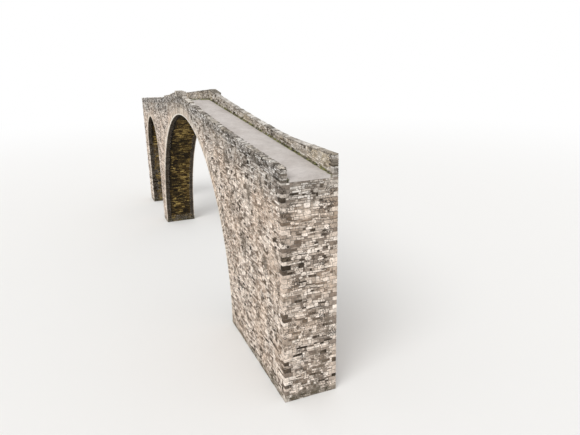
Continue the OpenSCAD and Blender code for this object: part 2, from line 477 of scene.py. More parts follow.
class StoneCoats(Coats):
    """The coats of a stone finish: the stone's own tones, and what weather, water and growth add."""

    def __init__(self, finish: StoneFinish) -> None:
        """Draws the patterns that several coats share.

        Args:
            finish: The finish that the coats are for.
        """
        super().__init__(finish.name, finish.roughness)
        self.surface.inputs["Specular IOR Level"].default_value = finish.sheen
        self.finish = finish
        # The broken grain of the split face, and the cloudy tones of each stone
        self.grain = self.add(Step.NOISE, self.where, per_metre(finish.grain_mm), 6.0, 0.65)
        self.clouds = self.add(Step.NOISE, self.where, per_metre(finish.mottle_mm), 5.0, 0.7)
        # Rain draws long streaks down the face
        drawn_out = self.add(Step.STRETCH, self.where, (1.0, 1.0, 0.14))
        self.rain = self.add(Step.NOISE, drawn_out, per_metre(230), 5.0, 0.6)
        self.crust = self.add(Step.NOISE, self.where, per_metre(finish.lichen_mm), 8.0, 0.72)

    def laid(self) -> bpy.types.Material:
        """Lays every coat that the finish has.

        Returns:
            The material, ready for a piece's slot.
        """
        finish = self.finish
        self.lay_stone()
        self.lay_lichen()
        for share, coat in ((finish.washed, self.lay_wash), (finish.stain, self.lay_stain),
                            (finish.seeping, self.lay_seepage), (finish.pits, self.lay_pits),
                            (finish.in_arch, self.lay_in_arch), (finish.sooty, self.lay_soot),
                            (finish.moss_at_road, self.lay_moss)):
            if share:
                coat()
        self.lay_damp()
        return self.finished(self.grain, *finish.relief)

    def cover(self, share: Value, tone: str) -> None:
        """Lays a coat of one tone over the colour so far."""
        self.colour = self.add(Step.COVER, share, self.colour, linear(tone))

    def lay_stone(self) -> None:
        """Gives each stone its own tone, the grain of its face and the quarry's warm beds."""
        add, finish = self.add, self.finish
        tones = add(Step.TONES, add(Step.STONE_SHADE))
        stops = tones.node.color_ramp.elements
        # The lowest stops are painted shade: a few stones take the near-black of the recesses between stones
        stops[0].color, stops[1].color = linear(finish.sunk), linear(finish.pale)
        for spot, tone in ((0.06, finish.sunk), (0.11, finish.dark), (0.48, finish.middle)):
            stops.new(spot).color = linear(tone)
        self.colour = tones
        # Beds of another colour in the quarry show as warm areas a metre or more across
        areas = add(Step.NOISE, self.where, per_metre(1500), 4.0)
        self.cover(add(Step.RANGE, areas, 0.40, 0.66, 0.0, finish.warm_cover), finish.warm)
        speckle = add(Step.RANGE, self.grain, 0.30, 0.70, 0.80, 1.12)
        mottled = add(Step.RANGE, self.clouds, 0.34, 0.66, 1.0 - finish.mottle, 1.0 + finish.mottle * 0.6)
        for pattern in (speckle, mottled):
            self.colour = add(Step.TINT, 1.0, self.colour, pattern)
        streak = add(Step.RANGE, self.rain, 0.50, 0.72, 0.0, finish.streaks)
        self.colour = add(Step.TINT, streak, self.colour, linear(finish.lichen))

    def lay_lichen(self) -> None:
        """Lays crusts of lichen a hand across, thickest where the large areas let them grow."""
        add, finish = self.add, self.finish
        spread = add(Step.NOISE, self.where, per_metre(finish.lichen_area_mm))
        both = add(Step.ADD, self.crust, spread)
        if finish.lichen_near:
            both = add(Step.ADD, both, add(Step.RANGE, self.x, 1.5, 8.5, 0.0, finish.lichen_near * 0.4))
        start = 1.16 - finish.lichen_cover * 0.4
        self.cover(add(Step.RANGE, both, start, start + 0.09, 0.0, 0.8), finish.lichen)

    def lay_wash(self) -> None:
        """Lets rain from the road wash the face paler and warmer on its way down."""
        add, finish = self.add, self.finish
        down = add(Step.RANGE, self.over_road(), -1.2, -0.15, 1.0, 0.0)
        tint = add(Step.COVER, down, *[linear(tone) for tone in finish.washed_tones])
        self.colour = add(Step.TINT, finish.washed, self.colour, tint)
        lift = add(Step.RANGE, down, 0.0, 1.0, 0.95, 1.0 + 0.13 * finish.washed)
        self.colour = add(Step.TINT, 1.0, self.colour, lift)

    def lay_stain(self) -> None:
        """Lets water run down the wall from the corbels as a pale stain, and paints a black shadow just
        under their feet.
        """
        add, finish, foot_z = self.add, self.finish, FORM.corbel_low_z
        near = add(Step.DISTANCE, self.flat, (FORM.corbel_foot_x, 0.0, foot_z - 0.03))
        aside = add(Step.SIZE, add(Step.SUBTRACT, self.x, FORM.corbel_foot_x))
        ragged = add(Step.MULTIPLY_ADD, self.clouds, 0.25, aside)
        band = add(Step.RANGE, ragged, 0.20, 0.50, finish.stain, 0.0)
        below = add(Step.RANGE, self.z, foot_z - 0.06, foot_z - 0.01, 1.0, 0.0)
        self.cover(add(Step.MULTIPLY, band, below), finish.stain_tone)
        # Painted shadow just under the corbel's foot
        self.cover(add(Step.RANGE, near, 0.07, 0.15, 0.85, 0.0), finish.drip_tone)

    def lay_seepage(self) -> None:
        """Lets water seep out round the putlog holes."""
        add = self.add
        nearest: Value = 1.0
        for x, z in FORM.putlog_holes:
            nearest = add(Step.LEAST, nearest, add(Step.DISTANCE, self.flat, (x, 0.0, z)))
        ragged = add(Step.MULTIPLY_ADD, self.clouds, 0.10, nearest)
        self.cover(add(Step.RANGE, ragged, 0.125, 0.205, self.finish.seeping, 0.0), self.finish.seeping_tone)

    def lay_pits(self) -> None:
        """Paints the shade of pits as black spots where small stones and mortar have fallen out, mostly
        where much has gone already.
        """
        add = self.add
        holes = add(Step.NOISE, self.where, per_metre(42))
        areas = add(Step.NOISE, self.where, per_metre(520), 3.0)
        # The faces have no hollows here, so the pits' black is painted shade
        pit = add(Step.RANGE, add(Step.ADD, holes, areas), 1.14, 1.20, 0.0, self.finish.pits)
        self.cover(pit, self.finish.pit_tone)

    def lay_in_arch(self) -> None:
        """Darkens the faces that look into an arch's opening with damp and painted shade, and runs lime
        along its arris.
        """
        add, finish = self.add, self.finish
        off = self.off_soffit()
        under = add(Step.RANGE, off, 0.012, 0.030, finish.in_arch, 0.0)
        behind = add(Step.RANGE, self.across, FORM.face_y - 0.07, FORM.face_y - 0.015, 1.0, 0.0)
        # Partly damp and partly painted shade, under the arch where little light comes
        damp = add(Step.COVER, add(Step.RANGE, self.clouds, 0.40, 0.66),
                   *[linear(tone) for tone in finish.in_arch_tones])
        self.colour = add(Step.COVER, add(Step.MULTIPLY, under, behind), self.colour, damp)
        if finish.lime:
            frayed = add(Step.MULTIPLY_ADD, self.clouds, 0.07, off)
            thin = add(Step.RANGE, frayed, 0.078, 0.108, finish.lime, 0.0)
            on_face = add(Step.RANGE, self.across, FORM.face_y - 0.03, FORM.face_y - 0.012)
            self.cover(add(Step.MULTIPLY, thin, on_face), finish.lime_tone)

    def lay_soot(self) -> None:
        """Blackens a vault near its mouths and its crown."""
        add, finish = self.add, self.finish
        ragged = add(Step.NOISE, self.where, per_metre(420), 5.0, 0.65)
        # The weather comes from the left, so that mouth of the vault is the darker one
        leant = add(Step.MULTIPLY_ADD, self.y, -0.2, self.across)
        mouth = add(Step.RANGE, add(Step.MULTIPLY_ADD, ragged, 0.9, leant), 1.06, 1.24, 0.0, finish.sooty)
        crown = add(Step.RANGE, add(Step.MULTIPLY_ADD, ragged, 1.4, self.over_road()), -0.9, 0.1,
                    0.0, finish.sooty)
        self.cover(add(Step.GREATEST, mouth, crown), finish.soot_tone)

    def lay_moss(self) -> None:
        """Lets moss grow up from the road at the foot of the face."""
        add = self.add
        growth, green = self.moss()
        ragged = add(Step.MULTIPLY_ADD, self.crust, -0.16, self.over_road())
        low = add(Step.RANGE, ragged, -0.050, 0.012, self.finish.moss_at_road, 0.0)
        self.colour = add(Step.COVER, add(Step.MULTIPLY, low, growth), self.colour, green)

    def lay_damp(self) -> None:
        """Keeps the foot of the wall damp and green."""
        rise = self.finish.damp_height
        uneven = self.add(Step.MULTIPLY_ADD, self.rain, -rise, self.z)
        self.cover(self.add(Step.RANGE, uneven, -rise * 0.3, rise * 0.3, 0.5, 0.0), self.finish.damp)


@dataclass(frozen=True)
class MortarFinish:
    """Lime mortar, struck flush with a trowel and washed out by rain, so it is sandy and dull."""

    name: str
    pale: str
    dark: str
    # Tone of the painted shade deep in the putlog holes, or none
    hole: str = ""
    # Lumps of lime and grit. The sand is finer, and wouldn't show
    grit_mm: float = 9.0
    roughness: float = 0.96
    relief: tuple[float, float] = (0.004, 0.7)

    def build(self) -> bpy.types.Material:
        """Makes the material.

        Returns:
            The material, ready for a piece's slot.
        """
        coats = Coats(self.name, self.roughness)
        add, where = coats.add, coats.where
        areas = add(Step.RANGE, add(Step.NOISE, where, per_metre(420), 4.0), 0.35, 0.65)
        grit = add(Step.NOISE, where, per_metre(self.grit_mm), 3.0)
        sandy = add(Step.COVER, areas, linear(self.dark), linear(self.pale))
        coats.colour = add(Step.TINT, 1.0, sandy, add(Step.RANGE, grit, 0.3, 0.7, 0.8, 1.1))
        if self.hole:
            # Paints shade on the mortar that lies deep in the putlog holes
            bed_y = FORM.face_y - MORTAR_DEPTH
            deep = add(Step.RANGE, coats.across, bed_y - 0.020, bed_y - 0.004, 1.0, 0.0)
            coats.colour = add(Step.COVER, deep, coats.colour, linear(self.hole))
        return coats.finished(grit, *self.relief)


@dataclass(frozen=True)
class RoadFinish:
    """Cast concrete paving, floated smooth and worn, which is pale, matt and finely speckled."""

    name: str
    pale: str
    dark: str
    dirt: str
    # Gravel, which is twice this across at full size
    aggregate_mm: float = 7.0
    roughness: float = 0.88
    relief: tuple[float, float] = (0.002, 0.6)

    def build(self) -> bpy.types.Material:
        """Makes the material.

        Returns:
            The material, ready for a piece's slot.
        """
        coats = Coats(self.name, self.roughness)
        add, where = coats.add, coats.where
        areas = add(Step.RANGE, add(Step.NOISE, where, per_metre(900), 5.0, 0.6), 0.35, 0.7)
        colour = add(Step.COVER, areas, linear(self.pale), linear(self.dark))
        specks = add(Step.NOISE, where, per_metre(self.aggregate_mm), 3.0, 0.7)
        colour = add(Step.TINT, 1.0, colour, add(Step.RANGE, specks, 0.3, 0.7, 0.86, 1.08))
        # The float leaves low ridges across the road, which hold a little dirt
        brushed = add(Step.STRETCH, where, (1.0, 0.45, 1.0))
        for size, depth in ((240, 0.03), (60, 0.05)):
            ridges = add(Step.NOISE, brushed, per_metre(size), 4.0, 0.6)
            colour = add(Step.TINT, 1.0, colour, add(Step.RANGE, ridges, 0.32, 0.68, 1 - depth, 1 + depth))
        # Moss grows in the dirt along both edges and on the crest, where no rain runs over it
        growth, green = coats.moss()
        ragged = add(Step.NOISE, where, per_metre(110), 6.0, 0.7)
        edge = add(Step.MULTIPLY_ADD, ragged, 0.16, coats.across)
        dirt = add(Step.RANGE, edge, FORM.road_half - 0.01, FORM.road_half + 0.05, 0.0, 0.9)
        colour = add(Step.COVER, dirt, colour, linear(self.dirt))
        from_crest = add(Step.MULTIPLY_ADD, ragged, 0.9, add(Step.SIZE, coats.x))
        line = add(Step.RANGE, from_crest, 0.62, 0.76, 0.97, 0.0)
        for share in (dirt, line):
            colour = add(Step.COVER, add(Step.MULTIPLY, share, growth), colour, green)
        coats.colour = colour
        return coats.finished(specks, *self.relief)


class Finishes:
    """Every finish of the bridge, made once and shared by its pieces."""

    def __init__(self) -> None:
        """Makes the materials."""
        # Split by hammer along its beds: matt faces in pale greys and creams, with black joints and holes
        # that are painted shade
        self.rubble = StoneFinish("split_limestone_rubble", "#786E65", "#D1C8BF", "#FDF9F4", "#DAC5B0",
                                  warm_cover=0.3, lichen="#6E665B", lichen_cover=0.15, streaks=0.22,
                                  mottle=0.28, mottle_mm=110.0, washed=1.0, pits=0.8, stain=0.5,
                                  in_arch=0.94, lime=0.9, seeping=0.92).build()
        # Thinner slabs of the same beds set on edge: even, pale and edged with white lime
        self.slabs = StoneFinish("split_limestone_slabs", "#968D83", "#D4CBC1", "#F6F1EA", "#DFCAB5",
                                 sunk="#6B6257", lichen="#7A7164", lichen_cover=0.12, streaks=0.2,
                                 mottle=0.3, washed=1.0, stain=0.5, in_arch=0.94, lime=0.95).build()
        # Never sunlit and always damp: ochre and brown, black with soot near the light; the dark tones are
        # partly damp and partly painted shade under the vaults
        self.soffit = StoneFinish("damp_ochre_rubble", "#1F170A", "#584724", "#B09C60", "#6F5A2F",
                                  sunk="#0F0B06", lichen="#130E07", lichen_cover=0.4, lichen_mm=110.0,
                                  streaks=0.35, mottle=0.6, mottle_mm=80.0, washed=1.3,
                                  sooty=0.97).build()
        # Out in all weathers and never washed from above: grey, and dark with small lichens
        self.parapet = StoneFinish("lichened_limestone_rubble", "#665F57", "#B3ABA3", "#F6F2ED", "#BBAC97",
                                   sunk="#2A251F", lichen="#4A443D", lichen_cover=0.13, lichen_near=0.24,
                                   lichen_mm=50.0, lichen_area_mm=180.0, mottle=0.36, mottle_mm=75.0,
                                   warm_cover=0.25, pits=0.9).build()
        # Facing the road and the sun: warm and dry, with moss along its foot
        self.inner = StoneFinish("sunlit_limestone_rubble", "#91877A", "#D3C8BA", "#FAF5ED", "#E6D5B6",
                                 sunk="#4A4136", lichen="#7A7160", lichen_cover=0.10, lichen_mm=60.0,
                                 lichen_area_mm=400.0, streaks=0.12, mottle=0.3, mottle_mm=80.0,
                                 warm_cover=0.5, pits=0.75, moss_at_road=0.95).build()
        # Dressed flat with a pick: paler than rubble, spotted with round lichens
        self.coping = StoneFinish("rough_dressed_limestone", "#A29B92", "#C9C2B9", "#EEE9E2", "#CFC1AD",
                                  sunk="#8A8379", lichen="#665F56", lichen_cover=0.15, lichen_near=0.08,
                                  lichen_mm=55.0, lichen_area_mm=260.0, streaks=0.1, mottle=0.32,
                                  mottle_mm=80.0, pits=0.6).build()
        # The same on the weather side: lichen covers most of it towards the near end
        self.weathered = StoneFinish("lichened_limestone_capping", "#787067", "#C4BCB3", "#F6F1EA",
                                     "#CBBDA7", sunk="#4E473F", lichen="#5A544C", lichen_cover=0.11,
                                     lichen_near=0.34, lichen_mm=50.0, lichen_area_mm=180.0,
                                     streaks=0.1, mottle=0.38, mottle_mm=75.0, pits=0.8).build()
        # Large dressed stones at the crest: an even mid grey with broad patches, a little darker than the
        # coping, which on the corbel is partly painted shade under its overhang
        self.sheltered = StoneFinish("sheltered_dressed_limestone", "#857D72", "#B4ACA2", "#DBD4CA",
                                     "#C0B39F", sunk="#857D72", lichen="#544D43", lichen_cover=0.18,
                                     lichen_mm=60.0, streaks=0.2, mottle=0.4, mottle_mm=80.0,
                                     pits=0.7).build()
        # Lime mortar is sandy and dull: pale where rain reaches it, and brown in the damp; the darker
        # mortars below are partly painted shade in deep joints and under the vaults
        self.mortar = MortarFinish("washed_lime_mortar", "#A39A8F", "#6B6258").build()
        # With painted shade deep in the putlog holes
        self.holed_mortar = MortarFinish("holed_lime_mortar", "#A39A8F", "#6B6258", hole="#0E0B08").build()
        # This mortar's dark tone is painted shade in the open joints of the left parapet
        self.deep_mortar = MortarFinish("shaded_lime_mortar", "#5A5146", "#352F28").build()
        # Under the vaults this mortar's dark brown is partly damp and partly painted shade
        self.dark_mortar = MortarFinish("damp_lime_mortar", "#4A3D26", "#2A2112").build()
        # Floated while wet and worn by use: smooth to the eye, pale grey and hardly speckled
        self.road = RoadFinish("floated_concrete_paving", "#D0C9C4", "#BFB7B1", "#8F8778").build()


class StonePile:
    """Stones gathered for one piece, kept as arrays until its mesh is made."""

    # Edges that turn less than this are shaded round
    SHARP = math.radians(62)

    def __init__(self) -> None:
        """Starts an empty pile."""
        self.points: list[Array] = []
        self.corners: list[Array] = []
        self.sizes: list[Array] = []
        self.shades: list[Array] = []
        self.count = 0

    def add(self, points: Array, faces: Faces, shades: Array) -> None:
        """Adds stones of one pattern.

        Args:
            points: Corners of every stone, with shape (stones, corners, 3).
            faces: Faces of one stone, as numbers of its corners.
            shades: One number from 0 to 1 for every stone, for its tone.
        """
        stones, per_stone, _ = points.shape
        pattern = np.concatenate([np.array(face) for face in faces])
        start = self.count + np.arange(stones)[:, None] * per_stone
        self.points.append(points.reshape(-1, 3))
        self.corners.append((pattern[None, :] + start).ravel())
        self.sizes.append(np.tile([len(face) for face in faces], stones))
        self.shades.append(np.repeat(shades, per_stone))
        self.count += stones * per_stone

    def build(self, name: str, material: bpy.types.Material, slot: str) -> bpy.types.Object:
        """Makes one mesh of the pile.

        Args:
            name: The piece's name.
            material: Its material.
            slot: The record's slot of the piece, handed on to dressed.

        Returns:
            The piece, riding on the bridge.
        """
        corners, sizes = np.concatenate(self.corners), np.concatenate(self.sizes)
        mesh = bpy.data.meshes.new(name)
        mesh.vertices.add(self.count)
        mesh.vertices.foreach_set("co", np.concatenate(self.points).ravel())
        mesh.loops.add(len(corners))
        mesh.loops.foreach_set("vertex_index", corners)
        mesh.polygons.add(len(sizes))
        mesh.polygons.foreach_set("loop_start", np.concatenate([[0], np.cumsum(sizes)[:-1]]))
        mesh.update(calc_edges=True)
        shade = mesh.attributes.new("stone_shade", "FLOAT", "POINT")
        shade.data.foreach_set("value", np.concatenate(self.shades))
        mesh.shade_smooth()
        mesh.set_sharp_from_angle(angle=self.SHARP)
        return dressed(name, mesh, material, slot)


def dressed(name: str, mesh: bpy.types.Mesh, material: bpy.types.Material, slot: str) -> bpy.types.Object:
    """Turns a mesh into a piece of the bridge.

    Args:
        name: The piece's name.
        mesh: Its mesh, in place.
        material: Its material.
        slot: The record's slot of the piece. It is not used.

    Returns:
        The piece, riding on the bridge.
    """
    piece = bpy.data.objects.new(name, mesh)
    bpy.context.scene.collection.objects.link(piece)
    mesh.materials.append(material)
    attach(piece, BODY)
    LOG.info("%s: %d faces", name, len(mesh.polygons))
    return piece


def turned(faces: Faces, place: Placer, sample: Array) -> Faces:
    """Turns a pattern's faces round where a placing mirrors it, so that they look outwards.

    Args:
        faces: Faces of one stone that look outwards in a right-handed u, v, h frame.
        place: The placing from u, v, h to X, Y, Z.
        sample: A place in u, v, h to test it at.

    Returns:
        The faces as they are, or each reversed.
    """
    step = 0.001
    edges = [place(*(sample + along)) - place(*sample) for along in np.eye(3) * step]
    if np.linalg.det(np.array(edges)) < 0:
        return [face[::-1] for face in faces]
    return faces


# Points of a face stone: the outline at its root, the outline of its face, and the middle of its face
OUTLINE = 8
FACE_PATTERN = (
    [(i, (i + 1) % OUTLINE, OUTLINE + (i + 1) % OUTLINE, OUTLINE + i) for i in range(OUTLINE)]
    + [(OUTLINE + i, OUTLINE + (i + 1) % OUTLINE, 2 * OUTLINE) for i in range(OUTLINE)])
# The way round the four corners of a square
TURNS = ((0, 0), (1, 0), (1, 1), (0, 1))


@dataclass(frozen=True)
class FaceStones:
    """Rubble set in a face: each stone has an outline of eight points, worn edges and an uneven face."""

    # Most that a corner is cut off upwards, as a share of the stone's smaller side, and least
    cut: float = 0.30
    least_cut: float = 0.05
    # How much further a corner is cut off along the course than upwards
    long_cut: float = 1.6
    joint: float = JOINT
    edge: float = 0.006
    # Share of its outline that a small stone's face keeps inside the worn edge
    least_face: float = 0.3
    wander: float = 0.003
    # How far behind the wall's face a stone's face lies, at least and at most
    proud: float = 0.0015
    hollow: float = 0.0095
    tilt: float = 0.0025
    uneven: float = 0.0015
    crown: float = 0.003
    # No point of a face stone comes nearer to the wall's face than this
    skin: float = 0.0004
    least_l: float = 0.025
    least_h: float = 0.018
    least_thin: float = 0.014
    least_area: float = 0.0006

    def lay(self, pile: StonePile, rects: Array, place: Placer, rng: np.random.Generator,
            settle: Settler | None = None) -> None:
        """Lays stones in a face.

        Args:
            pile: The pile that takes them.
            rects: For each stone its u0, u1, v0 and v1, joints included.
            place: The placing from u, v and the height h over the face to X, Y, Z.
            rng: The source of chance.
            settle: Moves outline points so that they keep out of what bounds the face.
        """
        long, high = rects[:, 1] - rects[:, 0], rects[:, 3] - rects[:, 2]
        rects = rects[(long > self.least_l) & (high > self.least_h)]
        u0, u1 = rects[:, 0] + self.joint, rects[:, 1] - self.joint
        v0, v1 = rects[:, 2] + self.joint, rects[:, 3] - self.joint
        count = len(u0)
        small = np.minimum(u1 - u0, v1 - v0)[:, None]
        cut_u = rng.uniform(self.least_cut, self.cut * self.long_cut, (count, 4)) * small
        cut_v = rng.uniform(self.least_cut, self.cut, (count, 4)) * small
        u = np.stack([u0 + cut_u[:, 0], u1 - cut_u[:, 1], u1, u1,
                      u1 - cut_u[:, 2], u0 + cut_u[:, 3], u0, u0], 1)
        v = np.stack([v0, v0, v0 + cut_v[:, 1], v1 - cut_v[:, 2],
                      v1, v1, v1 - cut_v[:, 3], v0 + cut_v[:, 0]], 1)
        u += rng.uniform(-self.wander, self.wander, u.shape)
        v += rng.uniform(-self.wander, self.wander, v.shape)
        if settle:
            u, v = settle(u, v)
        area = 0.5 * np.abs((u * np.roll(v, -1, 1) - np.roll(u, -1, 1) * v).sum(1))
        thin = np.minimum(np.ptp(u, axis=1), np.ptp(v, axis=1))
        keep = (area > self.least_area) & (thin > self.least_thin)
        u, v = u[keep], v[keep]
        count = len(u)
        middle_u, middle_v = u.mean(1, keepdims=True), v.mean(1, keepdims=True)
        span_u, span_v = np.ptp(u, axis=1, keepdims=True), np.ptp(v, axis=1, keepdims=True)
        inner_u = middle_u + (u - middle_u) * np.maximum(self.least_face, 1 - 2 * self.edge / span_u)
        inner_v = middle_v + (v - middle_v) * np.maximum(self.least_face, 1 - 2 * self.edge / span_v)
        level = rng.uniform(-self.hollow, -self.proud, (count, 1))
        slope = rng.uniform(-self.tilt, self.tilt, (count, 2))
        leant = slope[:, :1] * (inner_u - middle_u) / span_u + slope[:, 1:] * (inner_v - middle_v) / span_v
        height = level + 2 * leant + rng.uniform(-self.uneven, self.uneven, u.shape)
        height = np.minimum(height, -self.skin)
        crown = np.minimum(level + rng.uniform(0.0, self.crown, level.shape), -self.skin / 2)
        all_u = np.concatenate([u, inner_u, middle_u], 1)
        all_v = np.concatenate([v, inner_v, middle_v], 1)
        all_h = np.concatenate([np.full_like(u, -STONE_ROOT), height, crown], 1)
        sample = np.array([middle_u[0, 0], middle_v[0, 0], -self.edge])
        pile.add(place(all_u, all_v, all_h), turned(FACE_PATTERN, place, sample), rng.random(count))


def block_pattern() -> Faces:
    """Lists the faces of a block with chamfered edges.

    Returns:
        Faces that look outwards, with the point of corner c on the face square to axis a numbered 3c + a.
    """
    corners = [(i, j, k) for i in (0, 1) for j in (0, 1) for k in (0, 1)]
    inset = 0.8

    def number(corner: tuple[int, ...], axis: int) -> int:
        """Gives the number of a corner's point on one of its faces."""
        return 3 * corners.index(corner) + axis

    def spot(index: int) -> Array:
        """Gives a point's place on a block two units wide."""
        inward = np.where(np.arange(3) == index % 3, 1.0, inset)
        return (np.array(corners[index // 3]) * 2.0 - 1.0) * inward

    faces = []
    for axis in range(3):
        b, c = (axis + 1) % 3, (axis + 2) % 3
        for end in (0, 1):
            ring = []
            for turn_b, turn_c in TURNS:
                corner = [0, 0, 0]
                corner[axis], corner[b], corner[c] = end, turn_b, turn_c
                ring.append(number(tuple(corner), axis))
            faces.append(tuple(ring))
        for end_b, end_c in TURNS:
            first, last = [0, 0, 0], [0, 0, 0]
            last[axis] = 1
            first[b] = last[b] = end_b
            first[c] = last[c] = end_c
            faces.append((number(tuple(first), b), number(tuple(last), b),
                          number(tuple(last), c), number(tuple(first), c)))
    faces += [tuple(number(corner, axis) for axis in range(3)) for corner in corners]
    outward = []
    for face in faces:
        spots = [spot(index) for index in face]
        normal = np.cross(spots[1] - spots[0], spots[2] - spots[0])
        outward.append(face if normal @ sum(spots) > 0 else face[::-1])
    return outward


BLOCK_PATTERN = block_pattern()


@dataclass(frozen=True)
class Blocks:
    """Dressed or split blocks with worn edges, such as arch slabs, corner stones and copings."""

    chamfer: float = 0.008
    # The most that a chamfer takes, as a share of the block's smallest side
    most_chamfer: float = 0.3
    # How much the chamfers differ from block to block
    wear: tuple[float, float] = (0.7, 1.5)
    wobble: float = 0.0025

    def lay(self, pile: StonePile, boxes: Array, place: Placer, rng: np.random.Generator) -> None:
        """Lays blocks.

        Args:
            pile: The pile that takes them.
            boxes: For each block its u0, u1, v0, v1, h0 and h1, joints left out.
            place: The placing from u, v, h to X, Y, Z.
            rng: The source of chance.
        """
        count = len(boxes)
        low, high = boxes[:, 0::2], boxes[:, 1::2]
        size = high - low
        chamfer = np.minimum(self.chamfer * rng.uniform(*self.wear, (count, 1)),
                             size.min(1, keepdims=True) * self.most_chamfer)
        local = np.zeros((count, 3 * 8, 3))
        for c in range(8):
            bits = np.array([c >> 2 & 1, c >> 1 & 1, c & 1])
            corner = np.where(bits, high, low)
            inward = np.where(bits, -1.0, 1.0)
            jitter = inward * rng.uniform(0.0, self.wobble, (count, 3))
            for axis in range(3):
                shift = inward * chamfer
                shift[:, axis] = 0.0
                local[:, 3 * c + axis] = corner + shift + jitter
        points = place(*np.moveaxis(local, -1, 0))
        pile.add(points, turned(BLOCK_PATTERN, place, (low[0] + high[0]) / 2), rng.random(count))


def rough_block_pattern() -> tuple[Array, Faces]:
    """Lists the points and faces of a block whose every side is a net of four by four.

    Returns:
        For each point its three steps from 0 to 4, and the faces, looking outwards.
    """
    net = 4
    steps: dict[tuple[int, int, int], int] = {}
    faces = []
    for axis in range(3):
        b, c = (axis + 1) % 3, (axis + 2) % 3
        for end in (0, net):
            for i in range(net):
                for j in range(net):
                    ring = []
                    for turn_b, turn_c in TURNS:
                        spot = [0, 0, 0]
                        spot[axis], spot[b], spot[c] = end, i + turn_b, j + turn_c
                        ring.append(steps.setdefault(tuple(spot), len(steps)))
                    faces.append(tuple(ring) if end else tuple(ring[::-1]))
    return np.array(list(steps)), faces


ROUGH_STEPS, ROUGH_FACES = rough_block_pattern()


@dataclass(frozen=True)
class RoughBlocks:
    """Blocks knocked to shape with a hammer: rounded edges, uneven faces and no two alike."""

    rounding: float = 0.014
    # The most that rounding takes, as a share of half the block's side
    most_rounding: float = 0.45
    # How much the rounding differs from block to block
    wear: tuple[float, float] = (0.7, 1.4)
    hollows: float = 0.005
    # How far the middle lines of a block's sides wander, as a share of half the side
    off_middle: float = 0.25
    skew: float = 0.006

    def lay(self, pile: StonePile, boxes: Array, place: Placer, rng: np.random.Generator) -> None:
        """Lays blocks.

        Args:
            pile: The pile that takes them.
            boxes: For each block its u0, u1, v0, v1, h0 and h1, joints left out.
            place: The placing from u, v, h to X, Y, Z.
            rng: The source of chance.
        """
        count = len(boxes)
        low, high = boxes[:, 0::2], boxes[:, 1::2]
        half = (high - low) / 2
        radius = np.minimum(self.rounding * rng.uniform(*self.wear, (count, 1)), half * self.most_rounding)
        inset = radius / half
        middle = rng.uniform(-self.off_middle, self.off_middle, half.shape)
        ones = np.ones_like(inset)
        stops = np.stack([-ones, -ones + inset, middle * (1 - inset), ones - inset, ones], -1)
        spots = np.stack([stops[:, axis, ROUGH_STEPS[:, axis]] for axis in range(3)], -1)
        at = spots * half[:, None, :]
        core = half[:, None, :] - radius[:, None, :]
        inner = np.clip(at, -core, core)
        outward = (at - inner) / radius[:, None, :]
        length = np.maximum(np.linalg.norm(outward, axis=-1, keepdims=True), 1e-6)
        depth = rng.uniform(0.0, self.hollows, (count, len(ROUGH_STEPS), 1))
        shaped = inner + outward / length * (radius[:, None, :] - depth)
        lean = rng.uniform(-1.0, 1.0, (count, 1, 3)) * self.skew
        shaped *= 1 - np.abs(lean) / half[:, None, :] * (spots[..., [1, 2, 0]] * np.sign(lean) * 0.5 + 0.5)
        points = place(*np.moveaxis((low + half)[:, None, :] + shaped, -1, 0))
        pile.add(points, turned(ROUGH_FACES, place, (low + half)[0]), rng.random(count))


def course_levels(low: float, high: float, thin: float, thick: float, rng: np.random.Generator) -> Array:
    """Gives the levels of the joints between courses of chance thickness.

    Args:
        low: The lowest level.
        high: The highest level.
        thin: Least thickness of a course.
        thick: Greatest thickness of a course.
        rng: The source of chance.

    Returns:
        Levels from low to high.
    """
    count = max(1, round((high - low) / ((thin + thick) / 2)))
    steps = rng.uniform(thin, thick, count)
    return low + np.concatenate([[0.0], np.cumsum(steps)]) * (high - low) / steps.sum()


